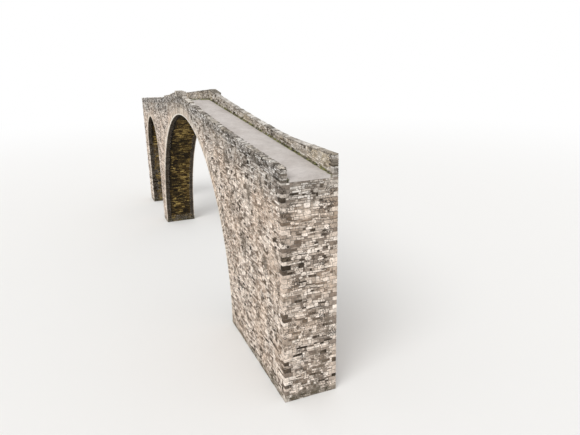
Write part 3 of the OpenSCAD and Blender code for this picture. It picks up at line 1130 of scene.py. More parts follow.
@dataclass(frozen=True)
class Coursing:
    """The way that rubble is coursed: lengths of its stones, and how often one takes two courses."""

    short: float = 0.07
    long: float = 0.37
    # Share of the stones up to a length that are two courses high
    jumpers: float = 0.15
    jumper_l: float = 0.26
    # Share of long stones that are two thin ones laid on each other, with the joint at this part of the
    # height and up to so much higher
    split: float = 0.22
    split_l: float = 0.13
    split_at: float = 0.35
    split_play: float = 0.3

    def joints(self, start: float, end: float, rng: np.random.Generator) -> Array:
        """Gives the upright joints along a stretch, between many short stones and a few long ones.

        Args:
            start: Where the stretch starts.
            end: Where it ends.
            rng: The source of chance.

        Returns:
            Places from start to end.
        """
        spread = self.long - self.short
        count = max(1, round((end - start) / (self.short + spread / 3)))
        steps = self.short + spread * rng.random(count) ** 2
        return start + np.concatenate([[0.0], np.cumsum(steps)]) * (end - start) / steps.sum()

    def lay_out(self, levels: Array, runs: Callable[[int], Stretches], rng: np.random.Generator) -> Array:
        """Divides courses into stones.

        Args:
            levels: Levels of the joints between the courses.
            runs: Gives for a course's number the stretches, from u0 to u1, that it fills.
            rng: The source of chance.

        Returns:
            For each stone its u0, u1, v0 and v1.
        """
        stones: list[tuple[float, float, float, float]] = []
        taken: Stretches = []
        for k in range(len(levels) - 1):
            low, high = float(levels[k]), float(levels[k + 1])
            tall: Stretches = []
            above = runs(k + 1) if k + 2 < len(levels) else []
            for u0, u1 in free_stretches(runs(k), taken):
                joints = self.joints(u0, u1, rng)
                lucky = rng.random(len(joints) - 1) < self.jumpers
                halved = rng.random(len(joints) - 1)
                for j in range(len(joints) - 1):
                    left, right, low_edge = float(joints[j]), float(joints[j + 1]), low
                    room = any(a <= left and right <= b for a, b in above)
                    jumps = lucky[j] and right - left < self.jumper_l and room
                    if jumps:
                        tall.append((left, right))
                    elif right - left > self.split_l and halved[j] < self.split:
                        part = self.split_at + self.split_play * halved[j] / self.split
                        bed = low + (high - low) * part
                        stones.append((left, right, low, bed))
                        low_edge = bed
                    stones.append((left, right, low_edge, float(levels[k + 2]) if jumps else high))
            taken = tall
        return np.array(stones)


# A stretch shorter than this is a sliver and gets no stone
LEAST_STRETCH = 0.03


def free_stretches(runs: Stretches, taken: Stretches) -> Stretches:
    """Takes the stretches that are already filled out of a course.

    Args:
        runs: The stretches that the course fills, in order.
        taken: The stretches that taller stones of the course below fill, in order.

    Returns:
        The stretches that are left, slivers dropped.
    """
    free = []
    for start, end in runs:
        at = start
        for left, right in taken:
            if right <= at or left >= end:
                continue
            free.append((at, left))
            at = right
        free.append((at, end))
    return [(a, b) for a, b in free if b - a > LEAST_STRETCH]


def waves(*rows: tuple[float | Array, Array]) -> Array:
    """Adds up waves, each given by its height and its phase, for courses and a road laid by eye."""
    return sum(height * np.sin(phase) for height, phase in rows)


@dataclass
class Masonry:
    """Courses and corner stones that all the faces of the bridge share, and their source of chance."""

    thin_course: float = 0.052
    thick_course: float = 0.098
    long_quoin: float = 0.30
    short_quoin: float = 0.17
    least_quoin_h: float = 0.03
    corner_stone: RoughBlocks = RoughBlocks(rounding=0.012, hollows=0.003, skew=0.004)
    face: FaceStones = FaceStones()
    coursing: Coursing = Coursing()
    rng: np.random.Generator = field(init=False)
    # Levels of the joints between the courses, from the bridge's foot to its crest
    levels: Array = field(init=False)

    def __post_init__(self) -> None:
        """Draws the courses."""
        self.rng = np.random.default_rng(SEED)
        self.levels = course_levels(0.0, FORM.crest_z, self.thin_course, self.thick_course, self.rng)

    def quoin(self, k: int, across: bool) -> float:
        """Gives how far the corner stone of course k reaches along a long face, or across an end or jamb."""
        turn = (k // 2) % 2 == 0
        return self.long_quoin if turn != across else self.short_quoin

    def quoins(self, pile: StonePile, x: float, inward: float, side: Side, top_z: float) -> None:
        """Lays the corner stones of one upright corner.

        Args:
            pile: The pile that takes them.
            x: Place of the corner along the bridge.
            inward: +1 where the masonry lies towards +X of the corner, or else -1.
            side: The side that the corner is on.
            top_z: Height at which the corner ends.
        """
        boxes = []
        for k in range(0, len(self.levels) - 2, 2):
            low, high = self.levels[k], min(self.levels[k + 2], top_z)
            if high - low < self.least_quoin_h:
                continue
            run, reach = self.quoin(k, False), self.quoin(k, True)
            boxes.append((JOINT / 2, run - JOINT, low + JOINT, high - JOINT, JOINT / 2, reach - JOINT))

        def place(u: Array, v: Array, h: Array) -> Array:
            """Puts u along the face, v upwards and h across the bridge, all from the corner."""
            return np.stack([x + inward * u, side.value * (FORM.face_y - h), v], -1)

        self.corner_stone.lay(pile, np.array(boxes), place, self.rng)


class Part(Enum):
    """A part of a long face, which ends over the middle of an arch."""

    FAR = "far"
    MIDDLE = "middle"
    NEAR = "near"


def on_face(side: Side) -> Placer:
    """Places stones on a long face: u is X and v is the height."""
    return lambda u, v, h: np.stack([u, side.value * (FORM.face_y + h), v], -1)


def on_cross(x: float, outward: float) -> Placer:
    """Places stones on an upright face square to the bridge: u is Y and v is the height."""
    return lambda u, v, h: np.stack([x + outward * h, u, v], -1)


@dataclass(frozen=True)
class LongFace:
    """One long outer face of the bridge: the abutments, the pier and the spandrels."""

    side: Side
    masonry: Masonry
    finishes: Finishes
    # Room between the stones and the rings, the putlog holes or the bed of the parapet
    clear: float = 0.004
    # A course whose bed is nearer than this to the bed of the parapet has no stones
    least_room: float = 0.02
    # The courses come to wander over this height above the bridge's foot
    level_h: float = 0.4

    def runs(self, k: int) -> Stretches:
        """Gives the stretches of a course that are wall.

        Args:
            k: The course's number.

        Returns:
            Stretches from one X to the next.
        """
        levels, masonry = self.masonry.levels, self.masonry
        low, middle = levels[k], (levels[k] + levels[k + 1]) / 2
        room = FORM.crest_z - FORM.pave_t - low - self.least_room
        if room < 0:
            return []
        at = max(FORM.far_x + masonry.quoin(k, False), -room / FORM.far_slope)
        end = min(FORM.near_x - masonry.quoin(k, False), room / FORM.near_slope)
        runs = []
        for arch in (FORM.side, FORM.main):
            half = arch.half_width(middle)
            if half <= 0:
                continue
            if middle < arch.spring_z:
                half += masonry.quoin(k, False)
            if arch.x - half > at:
                runs.append((at, arch.x - half))
            at = max(at, arch.x + half)
        if end > at:
            runs.append((at, end))
        half = FORM.hole_w / 2
        holes = sorted((x - half, x + half) for x, z in FORM.putlog_holes
                       if levels[k] < z + half and levels[k + 1] > z - half)
        return free_stretches(runs, holes)

    def settle(self, u: Array, v: Array) -> tuple[Array, Array]:
        """Keeps stones out of the rings and under the bed of the parapet.

        Args:
            u: X of the outlines' points.
            v: Height of the outlines' points.

        Returns:
            The points moved.
        """
        wave = waves((0.018, u * 2.1 + 0.6 * np.sin(v * 1.7)), (0.012, u * 5.3 + v * 3.1),
                     (0.005, u * 11.9 - v * 6.7))
        v = v + wave * np.clip(v / self.level_h, 0, 1)
        for arch in FORM.arches:
            du, dv = u - arch.x, v - arch.spring_z
            far = np.hypot(du, dv)
            keep = arch.back_r + self.clear
            push = np.where((far < keep) & (dv > 0), keep / np.maximum(far, self.clear), 1.0)
            u, v = arch.x + du * push, arch.spring_z + dv * push
        keep = FORM.hole_w / 2 + self.clear
        for x, z in FORM.putlog_holes:
            du, dv = u - x, v - z
            inside = (np.abs(du) < keep) & (np.abs(dv) < keep)
            level = np.abs(dv) > np.abs(du)
            u = np.where(inside & ~level, x + np.sign(du) * keep, u)
            v = np.where(inside & level, z + np.sign(dv) * keep, v)
        return u, np.clip(v, FOOT, FORM.bed_z(u) - self.clear)

    def build(self) -> None:
        """Lays the stones of the face, in one piece for each of its parts."""
        masonry, rng = self.masonry, self.masonry.rng
        stones = masonry.coursing.lay_out(masonry.levels, self.runs, rng)
        middle = (stones[:, 0] + stones[:, 1]) / 2
        ends = (FORM.far_x, FORM.side.x, FORM.main.x, FORM.near_x)
        for part, low, high in zip(Part, ends, ends[1:]):
            pile = StonePile()
            chosen = stones[(middle >= low) & (middle < high)]
            masonry.face.lay(pile, chosen, on_face(self.side), rng, self.settle)
            self.corners(part, pile)
            name = f"{part.value}_wall_stones_{self.side.word}"
            pile.build(name, self.finishes.rubble, "rubble_masonry")

    def corners(self, part: Part, pile: StonePile) -> None:
        """Lays the corner stones of one part.

        Args:
            part: The part.
            pile: The pile that takes them.
        """
        main, side_arch = FORM.main, FORM.side
        places = {
            Part.FAR: [(FORM.far_x, 1.0, FORM.bed_at(FORM.far_x)),
                       (side_arch.x - side_arch.soffit_r, -1.0, side_arch.spring_z)],
            Part.MIDDLE: [(side_arch.x + side_arch.soffit_r, 1.0, side_arch.spring_z),
                          (main.x - main.soffit_r, -1.0, main.spring_z)],
            Part.NEAR: [(main.x + main.soffit_r, 1.0, main.spring_z),
                        (FORM.near_x, -1.0, FORM.bed_at(FORM.near_x))],
        }
        for x, inward, top_z in places[part]:
            self.masonry.quoins(pile, x, inward, self.side, top_z)


@dataclass(frozen=True)
class CrossFaces:
    """Upright faces square to the bridge: its two ends and the jambs under the arches."""

    masonry: Masonry
    finishes: Finishes
    # Room between the stones and the top of the face
    clear: float = 0.003

    def lay(self, name: str, x: float, outward: float, top_z: float, material: bpy.types.Material) -> None:
        """Lays one face.

        Args:
            name: The piece's name.
            x: Place of the face along the bridge.
            outward: +1 where the face looks to +X, or else -1.
            top_z: Height of its top.
            material: Its material.
        """
        masonry = self.masonry
        levels = np.append(masonry.levels[:int(np.searchsorted(masonry.levels, top_z))], top_z)

        def runs(k: int) -> Stretches:
            """Gives the stretch between the corner stones."""
            half = FORM.face_y - masonry.quoin(k, True)
            return [(-half, half)]

        def settle(u: Array, v: Array) -> tuple[Array, Array]:
            """Keeps the courses a little uneven, between the bridge's foot and the face's top."""
            wave = waves((0.012, u * 6.0 + v * 2.0))
            return u, np.clip(v + wave, FOOT, top_z - self.clear)

        pile = StonePile()
        stones = masonry.coursing.lay_out(levels, runs, masonry.rng)
        masonry.face.lay(pile, stones, on_cross(x, outward), masonry.rng, settle)
        pile.build(name, material, "rubble_masonry")

    def build(self) -> None:
        """Lays the ends and the jambs."""
        # The jambs take the soffit's dark finish, which is partly damp and partly painted shade under the
        # arches
        rubble, damp = self.finishes.rubble, self.finishes.soffit
        self.lay("near_end_stones", FORM.near_x, 1.0, FORM.bed_at(FORM.near_x), rubble)
        self.lay("far_end_stones", FORM.far_x, -1.0, FORM.bed_at(FORM.far_x), rubble)
        for arch in FORM.arches:
            for word, turn in (("near", 1.0), ("far", -1.0)):
                self.lay(f"{arch.name}_arch_{word}_jamb_stones", arch.x + turn * arch.soffit_r, -turn,
                         arch.spring_z, damp)


@dataclass(frozen=True)
class ArchStones:
    """Ring and soffit of an arch: slabs set on edge, with the soffit's slabs in line with the ring's."""

    arch: Arch
    masonry: Masonry
    finishes: Finishes
    # Thickness of a slab, and the share by which it differs
    slab_t: float = 0.065
    slab_play: float = 0.3
    # How far the ring's slabs reach in under the arch, at least and at most
    least_reach: float = 0.20
    most_reach: float = 0.30
    # Least depth of a ring slab as a share of the ring's, and the share of slabs that have all of it
    shallow: float = 0.62
    full_slabs: float = 0.45
    # Room that a second slab behind a shallow one needs
    least_back: float = 0.045
    # How far the slabs lie behind the solid's face and its soffit, at least and at most
    face_proud: tuple[float, float] = (0.001, 0.006)
    soffit_proud: tuple[float, float] = (0.0005, 0.006)
    back_clear: float = 0.002
    slab: Blocks = Blocks(chamfer=0.005, wobble=0.002)
    soffit_slab: FaceStones = FaceStones(cut=0.25, edge=0.005)
    coursing: Coursing = Coursing(short=0.18, long=0.44, jumpers=0.0)

    def around(self, u: Array, v: Array, h: Array) -> Array:
        """Places stones round the arch: u is the radius, v the angle and h is Y."""
        return np.stack([self.arch.x + u * np.cos(v), h, self.arch.spring_z + u * np.sin(v)], -1)

    def build(self) -> None:
        """Lays the rings and the soffit."""
        arch, rng = self.arch, self.masonry.rng
        mean_r = (arch.soffit_r + arch.back_r) / 2
        turn = self.slab_t / mean_r
        angles = course_levels(0.0, math.pi, turn * (1 - self.slab_play), turn * (1 + self.slab_play), rng)
        count = len(angles) - 1
        reach = {side: rng.uniform(self.least_reach, self.most_reach, count) for side in Side}
        ring_t = arch.back_r - arch.soffit_r
        low, high = angles[:-1] + JOINT / mean_r, angles[1:] - JOINT / mean_r
        for side in Side:
            pile = StonePile()
            depth = ring_t * rng.uniform(self.shallow, 1.0, count)
            depth = np.where(rng.random(count) < self.full_slabs, ring_t, depth)
            proud = rng.uniform(*self.face_proud, count)
            outer = np.sort(side.value * np.stack([FORM.face_y - proud, FORM.face_y - reach[side]], 1), 1)
            inner_r = arch.soffit_r + rng.uniform(*self.soffit_proud, count)
            slabs = np.stack([inner_r, arch.soffit_r + depth - JOINT, low, high, *outer.T], 1)
            self.chamfered(pile, slabs, rng)
            rest = ring_t - depth > self.least_back
            backs = slabs[rest].copy()
            backs[:, 0] = arch.soffit_r + depth[rest] + JOINT
            backs[:, 1] = arch.back_r - self.back_clear
            if len(backs):
                self.chamfered(pile, backs, rng)
            pile.build(f"{arch.name}_arch_slabs_{side.word}", self.finishes.slabs, "arch_stone")
        self.soffit(angles, reach)

    def chamfered(self, pile: StonePile, boxes: Array, rng: np.random.Generator) -> None:
        """Lays slabs round the arch, with their angles worked as lengths on the soffit.

        Args:
            pile: The pile that takes them.
            boxes: For each slab its radii, angles and Y.
            rng: The source of chance.
        """
        scale = self.arch.soffit_r
        worked = boxes.copy()
        worked[:, 2:4] *= scale
        self.slab.lay(pile, worked, lambda u, v, h: self.around(u, v / scale, h), rng)

    def soffit(self, angles: Array, reach: dict[Side, Array]) -> None:
        """Lays the soffit between the two rings.

        Args:
            angles: Angles of the joints between the slabs.
            reach: How far each slab of either ring reaches in under the arch.
        """
        arch, rng = self.arch, self.masonry.rng
        radius = arch.soffit_r

        def runs(k: int) -> Stretches:
            """Gives the stretch between the two rings."""
            return [(-FORM.face_y + reach[Side.LEFT][k], FORM.face_y - reach[Side.RIGHT][k])]

        def place(u: Array, v: Array, h: Array) -> Array:
            """Puts u across the bridge and v along the curve, with h towards the arch's middle."""
            return self.around(radius - h, v / radius, u)

        pile = StonePile()
        stones = self.coursing.lay_out(angles * radius, runs, rng)
        self.soffit_slab.lay(pile, stones, place, rng)
        pile.build(f"{arch.name}_arch_soffit_slabs", self.finishes.soffit, "arch_stone")


@dataclass(frozen=True)
class Parapet:
    """One parapet: rubble on both faces, through stones at its ends and a coping of flat blocks."""

    side: Side
    masonry: Masonry
    finishes: Finishes
    course_thin: float = 0.048
    course_thick: float = 0.080
    long_end: float = 0.26
    short_end: float = 0.15
    # Half the width of the joints on the weather side, which rain has opened
    open_joint: float = 0.0065
    # Places along the wall at which its height is taken
    samples: int = 400
    # Least height of a stone that shows over the road, that fits under the coping and at an end
    least_low: float = 0.02
    least_top: float = 0.025
    least_end: float = 0.012
    # How far the inner face goes down beside the pavement, and its room under the coping
    beside_road: float = 0.03
    clear: float = 0.003
    # How far the end stones lie behind the wall's faces
    skin: float = 0.002
    # Lengths of the coping's blocks: short ones on the left, long ones on the right
    short_blocks: tuple[float, float] = (0.07, 0.22)
    long_blocks: tuple[float, float] = (0.18, 0.46)
    # How much lower, and how much further in on either side, one block may lie than the next
    rough_top: float = 0.016
    rough_inner: float = 0.020
    rough_outer: float = 0.018
    coursing: Coursing = Coursing(short=0.06, long=0.32, jumpers=0.18, jumper_l=0.22, split=0.06)
    end_stone: RoughBlocks = RoughBlocks(rounding=0.009, hollows=0.003, skew=0.004)
    coping_block: RoughBlocks = RoughBlocks(rounding=0.016, hollows=0.006, skew=0.008)

    @property
    def joint(self) -> float:
        """Half the width of the joints."""
        return self.open_joint if self.side is Side.LEFT else JOINT

    def height(self, x: Array) -> Array:
        """Height of the wall at x, from its bed to the underside of its coping."""
        return FORM.top_z(self.side, x) - FORM.coping_t - FORM.bed_z(x)

    def end_run(self, k: int) -> float:
        """Length of the through stone at the end of a course."""
        return self.long_end if k % 2 else self.short_end

    def build(self) -> None:
        """Lays the wall's faces, its ends and its coping."""
        rng, word = self.masonry.rng, self.side.word
        tallest = float(self.height(np.linspace(FORM.far_x, FORM.near_x, self.samples // 2)).max())
        levels = course_levels(0.0, tallest, self.course_thin, self.course_thick, rng)
        self.lay_face(f"parapet_outer_stones_{word}", levels, FORM.face_y, 1.0, 0.0, self.finishes.parapet)
        self.lay_face(f"parapet_inner_stones_{word}", levels, FORM.road_half, -1.0,
                      FORM.pave_t - self.beside_road, self.finishes.inner)
        self.lay_ends(levels)
        self.lay_coping()

    def lay_face(self, name: str, levels: Array, y: float, outward: float, low: float,
                 material: bpy.types.Material) -> None:
        """Lays one face, in courses that follow the slope of the road.

        Args:
            name: The piece's name.
            levels: Levels of the joints above the wall's bed.
            y: Distance of the face from the bridge's middle.
            outward: +1 on the outer face, -1 on the face to the road.
            low: Lowest level that shows.
            material: Its material.
        """
        rng = self.masonry.rng

        def runs(k: int) -> Stretches:
            """Gives the stretches of a course, between the through stones, where the wall is high enough.

            Args:
                k: The course's number.

            Returns:
                Stretches from one X to the next.
            """
            if levels[k + 1] < low + self.least_low:
                return []
            run = self.end_run(k)
            xs = np.linspace(FORM.far_x + run, FORM.near_x - run, self.samples)
            tall = xs[self.height(xs) > levels[k] + self.least_top]
            if not len(tall):
                return []
            # A step wider than one and a half samples is a gap
            breaks = np.flatnonzero(np.diff(tall) > (xs[1] - xs[0]) * 1.5)
            starts = [tall[0], *tall[breaks + 1]]
            ends = [*tall[breaks], tall[-1]]
            return [(float(a), float(b)) for a, b in zip(starts, ends)]

        def settle(u: Array, v: Array) -> tuple[Array, Array]:
            """Keeps the courses a little uneven, between the bed and the coping."""
            wave = waves((0.010, u * 3.1), (0.007, u * 8.3 + v * 9.0))
            return u, np.clip(v + wave, low, self.height(u) - self.clear)

        def place(u: Array, v: Array, h: Array) -> Array:
            """Puts u along X and v above the wall's bed."""
            return np.stack([u, self.side.value * (y + outward * h), FORM.bed_z(u) + v], -1)

        pile = StonePile()
        stones = self.coursing.lay_out(levels, runs, rng)
        FaceStones(joint=self.joint).lay(pile, stones, place, rng, settle)
        pile.build(name, material, "parapet_masonry")

    def lay_ends(self, levels: Array) -> None:
        """Lays the through stones at both ends.

        Args:
            levels: Levels of the joints above the wall's bed.
        """
        rng = self.masonry.rng
        pile = StonePile()
        for x, inward in ((FORM.near_x, -1.0), (FORM.far_x, 1.0)):
            tall = float(self.height(np.array(x)))
            boxes = []
            for k in range(len(levels) - 1):
                low, high = levels[k] + JOINT, min(levels[k + 1], tall) - JOINT
                if high - low > self.least_end:
                    boxes.append((self.skin, self.end_run(k) - JOINT, low, high,
                                  FORM.road_half + self.skin, FORM.face_y - self.skin))

            def place(u: Array, v: Array, h: Array, x: float = x, inward: float = inward) -> Array:
                """Puts u in from the end, v above the wall's bed and h across the bridge."""
                along = x + inward * u
                return np.stack([along, self.side.value * h, FORM.bed_z(along) + v], -1)

            self.end_stone.lay(pile, np.array(boxes), place, rng)
        pile.build(f"parapet_end_stones_{self.side.word}", self.finishes.parapet, "parapet_masonry")

    def lay_coping(self) -> None:
        """Lays the coping, apart from the cap stone on the crest."""
        rng, left = self.masonry.rng, self.side is Side.LEFT
        pile = StonePile()
        for start, end in ((FORM.far_x, 0.0), (FORM.cap_l, FORM.near_x)):
            joints = course_levels(start, end, *(self.short_blocks if left else self.long_blocks), rng)
            count = len(joints) - 1
            top = FORM.coping_t - rng.uniform(0.0, self.rough_top, count)
            inner = FORM.road_half - FORM.coping_lip + rng.uniform(0.0, self.rough_inner, count)
            outer = FORM.face_y + FORM.coping_lip - rng.uniform(0.0, self.rough_outer, count)
            bed = np.full(count, self.skin / 2)
            boxes = np.stack([joints[:-1] + JOINT, joints[1:] - JOINT, bed, top, inner, outer], 1)

            def place(u: Array, v: Array, h: Array) -> Array:
                """Puts u along X, v above the coping's bed and h across the bridge."""
                return np.stack([u, self.side.value * h, FORM.top_z(self.side, u) - FORM.coping_t + v], -1)

            self.coping_block.lay(pile, boxes, place, rng)
        stone = self.finishes.weathered if left else self.finishes.coping
        piece = pile.build(f"coping_blocks_{self.side.word}", stone, "coping_stone")
        nodes = [f"near_coping_{self.side.word}", f"far_coping_{self.side.word}"]
        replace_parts(piece, *nodes, *([] if left else ["end_coping_right"]))


@dataclass(frozen=True)
class MortarBeds:
    """The mortar and rubble core of every solid of masonry, set back behind the stones' faces."""

    finishes: Finishes
    # A corner this near to a face lies on it
    near: float = 0.002
    # Words that the names of masonry nodes hold
    words: tuple[str, ...] = ("abutment", "pier", "arch", "wall", "parapet")

    def set_back(self, points: Array, parapet: bool) -> Array:
        """Moves the corners that lie on a face in behind it.

        Args:
            points: Corners of a solid, with shape (corners, 3).
            parapet: True for a parapet, whose face to the road is set back too.

        Returns:
            The corners moved.
        """
        near = self.near
        moved = points.copy()
        x, y, z = points.T
        for arch in FORM.arches:
            du, dv = x - arch.x, z - arch.spring_z
            far = np.hypot(du, dv)
            curve = (np.abs(far - arch.soffit_r) < near) & (dv > -near)
            grow = (arch.soffit_r + MORTAR_DEPTH) / np.maximum(far, near)
            moved[:, 0] = np.where(curve, arch.x + du * grow, moved[:, 0])
            moved[:, 2] = np.where(curve, arch.spring_z + dv * grow, moved[:, 2])
            jamb = (np.abs(np.abs(du) - arch.soffit_r) < near) & (dv < near)
            moved[:, 0] = np.where(jamb, x + np.sign(du) * MORTAR_DEPTH, moved[:, 0])
        moved[:, 0] = np.clip(moved[:, 0], FORM.far_x + MORTAR_DEPTH, FORM.near_x - MORTAR_DEPTH)
        limit = FORM.face_y - MORTAR_DEPTH
        moved[:, 1] = np.clip(moved[:, 1], -limit, limit)
        if parapet:
            inner = np.abs(np.abs(y) - FORM.road_half) < near
            moved[:, 1] = np.where(inner, np.sign(y) * (FORM.road_half + MORTAR_DEPTH), moved[:, 1])
        return moved

    def build(self) -> None:
        """Makes one bed for each node of masonry."""
        slots = {row["node"]: row["material_slot"] for row in frame["record"]["subparts"]}
        for name in sorted(frame["nodes"]):
            if not any(word in name for word in self.words):
                continue
            mesh = frame["nodes"][name].data.copy()
            mesh.materials.clear()
            points = np.zeros(len(mesh.vertices) * 3)
            mesh.vertices.foreach_get("co", points)
            moved = self.set_back(points.reshape(-1, 3), "parapet" in name)
            if name == "far_parapet_right":
                on_top = moved[:, 2] > FORM.bed_z(moved[:, 0]) + FORM.coping_t
                moved[:, 2] -= np.where(on_top, FORM.far_fall(moved[:, 0]), 0.0)
            mesh.vertices.foreach_set("co", moved.ravel())
            mesh.update()
            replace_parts(dressed(f"{name}_mortar", mesh, self.mortar_of(name), slots[name]), name)

    def mortar_of(self, name: str) -> bpy.types.Material:
        """Gives the mortar of a node.

        Args:
            name: The node's name.

        Returns:
            Its material.
        """
        special = {"barrel": self.finishes.dark_mortar, "parapet_left": self.finishes.deep_mortar,
                   "middle_wall": self.finishes.holed_mortar}
        return next((mortar for word, mortar in special.items() if word in name), self.finishes.mortar)


@dataclass(frozen=True)
class Roadway:
    """The paved road: two ramps that meet at the crest, with a rounded rise along their middle."""

    finishes: Finishes
    step: float = 0.07
    points_across: int = 25
    crown: float = 0.045
    rounding: float = 0.25
    # The float leaves the surface this much lower than true, apart from a strip along its rim
    worn: float = 0.003
    rim: float = 0.05
    # Edges that turn less than this are shaded round
    sharp: float = math.radians(40)

    def rise(self, y: Array) -> Array:
        """Height of the surface over its edges at a distance from the middle."""
        fall = np.hypot(y / FORM.road_half, self.rounding) - self.rounding
        return self.crown * (1 - fall / (math.hypot(1.0, self.rounding) - self.rounding))

    def lay(self, name: str, start: float, end: float, node: str) -> None:
        """Makes one ramp.

        Args:
            name: The piece's name.
            start: Lower end along X.
            end: Higher end along X.
            node: The node that it replaces.
        """
        xs = np.linspace(start, end, round((end - start) / self.step) + 1)
        ys = np.linspace(-FORM.road_half, FORM.road_half, self.points_across)
        x, y = np.meshgrid(xs, ys, indexing="ij")
        uneven = waves((0.0035 * np.cos(y * 4.1 + x * 0.9), x * 2.3 + 1.7 * np.sin(y * 3.0)),
                       (0.0015, x * 7.9 + y * 6.3))
        inside = np.clip((FORM.road_half - np.abs(y)) / self.rim, 0, 1) \
            * np.clip(np.minimum(x - start, end - x) / self.rim, 0, 1)
        z = FORM.road_z(x) + self.rise(y) + (uneven - self.worn) * inside
        top = np.stack([x, y, z], -1)
        bottom = np.stack([x, y, FORM.bed_z(x)], -1)
        rows, columns = x.shape
        points = np.concatenate([top.reshape(-1, 3), bottom.reshape(-1, 3)])
        index = np.arange(rows * columns).reshape(rows, columns)
        below = index + rows * columns
        faces = []
        for i in range(rows - 1):
            for j in range(columns - 1):
                faces.append((index[i, j], index[i + 1, j], index[i + 1, j + 1], index[i, j + 1]))
                faces.append((below[i, j], below[i, j + 1], below[i + 1, j + 1], below[i + 1, j]))
            faces.append((index[i, 0], below[i, 0], below[i + 1, 0], index[i + 1, 0]))
            faces.append((index[i, -1], index[i + 1, -1], below[i + 1, -1], below[i, -1]))
        for j in range(columns - 1):
            faces.append((index[0, j], index[0, j + 1], below[0, j + 1], below[0, j]))
            faces.append((index[-1, j], below[-1, j], below[-1, j + 1], index[-1, j + 1]))
        mesh = bpy.data.meshes.new(name)
        mesh.from_pydata(points.tolist(), [], [tuple(int(i) for i in face) for face in faces])
        mesh.shade_smooth()
        mesh.set_sharp_from_angle(angle=self.sharp)
        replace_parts(dressed(name, mesh, self.finishes.road, "road_surface"), node)

    def build(self) -> None:
        """Makes both ramps."""
        self.lay("near_road", 0.0, FORM.near_x, "near_pavement")
        self.lay("far_road", FORM.far_x, 0.0, "far_pavement")


@dataclass(frozen=True)
class CrestStones:
    """Cap stones at the crest and the corbel that carries each of them out over the wall's face."""

    side: Side
    masonry: Masonry
    finishes: Finishes
    cap_joints: tuple[float, ...] = (0.0, 0.41, 0.76, 1.1)
    nose_joints: tuple[float, ...] = (0.0, 0.52, 1.1)
    # Half a joint between these large stones, and how deep the corbel is built into the wall
    joint: float = 0.003
    tail: float = 0.05
    # Room between the stones and the solids' faces, and the part of the cap's height that they fill
    skin: float = 0.002
    cap_part: float = 0.995
    cap_stone: RoughBlocks = RoughBlocks(rounding=0.012, hollows=0.004, skew=0.003)
    corbel_stone: RoughBlocks = RoughBlocks(rounding=0.012, hollows=0.003, skew=0.003)

    def under_cap(self, x: Array) -> Array:
        """Height of the cap's underside at x, in line with the coping's."""
        drop = FORM.left_drop if self.side is Side.LEFT else 0.0
        return FORM.near_top(x, drop) - FORM.coping_t

    def foot_to_cap(self) -> float:
        """Height of the corbel at the crest, from its foot to the underside of its cap."""
        return float(self.under_cap(np.array(0.0))) - FORM.corbel_low_z

    def cap_place(self, u: Array, v: Array, h: Array) -> Array:
        """Places the cap's stones.

        Args:
            u: X.
            v: From 0 at the cap's underside to 1 at its top.
            h: Distance from the bridge's middle plane.

        Returns:
            X, Y and Z.
        """
        low = self.under_cap(u)
        top = np.full_like(u, FORM.cap_z) if self.side is Side.LEFT else low + FORM.coping_t
        return np.stack([u, self.side.value * h, low + v * (top - low)], -1)

    def corbel_place(self, u: Array, v: Array, h: Array) -> Array:
        """Places the corbel's stones, all drawn in to its foot.

        Args:
            u: X along its nose.
            v: Height above its foot.
            h: Distance out of the wall's face.

        Returns:
            X, Y and Z.
        """
        foot_z = FORM.corbel_low_z
        z = foot_z + v / self.foot_to_cap() * (self.under_cap(u) - foot_z)
        flare = np.clip((z - foot_z) / FORM.corbel_flare_h, 0.0, 1.0)
        foot_x = FORM.corbel_foot_x + FORM.corbel_foot_l * (u / FORM.cap_l - 0.5)
        x = foot_x + (u - foot_x) * flare
        y = FORM.face_y + np.where(h > 0, h * flare, h)
        return np.stack([x, self.side.value * y, z], -1)

    def build(self) -> None:
        """Lays the cap stones and the corbel."""
        rng, skin, reach = self.masonry.rng, self.skin, FORM.corbel_reach
        inner, outer = FORM.road_half - FORM.coping_lip + skin, FORM.face_y + reach - skin / 2
        caps = [(a + self.joint, b - self.joint, 0.0, self.cap_part, inner, outer)
                for a, b in zip(self.cap_joints, self.cap_joints[1:])]
        pile = StonePile()
        self.cap_stone.lay(pile, np.array(caps), self.cap_place, rng)
        self.keep(pile, "crest_cap")
        full = self.foot_to_cap()
        nose = FORM.corbel_flare_h
        stones = [(skin, FORM.cap_l - skin, skin, nose - self.joint, -self.tail, reach - skin)]
        stones += [(a + skin, b - skin, nose + self.joint, full - self.joint, -self.tail, reach - skin)
                   for a, b in zip(self.nose_joints, self.nose_joints[1:])]
        pile = StonePile()
        self.corbel_stone.lay(pile, np.array(stones), self.corbel_place, rng)
        self.keep(pile, "crest_corbel")

    def keep(self, pile: StonePile, node: str) -> None:
        """Makes the piece that stands for one of the side's nodes."""
        piece = pile.build(f"{node}_stones_{self.side.word}", self.finishes.sheltered, "coping_stone")
        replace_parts(piece, f"{node}_{self.side.word}")


@dataclass(frozen=True)
class Fill:
    """Packed rubble and earth inside the bridge, which keeps the frame's solids."""

    finishes: Finishes
    nodes: tuple[str, ...] = ("near_fill", "middle_fill", "far_fill")

    def build(self) -> None:
        """Gives the solids a damp, earthy finish."""
        for name in self.nodes:
            materials = frame["nodes"][name].data.materials
            materials.clear()
            materials.append(self.finishes.dark_mortar)
            LOG.info("%s: dressed", name)


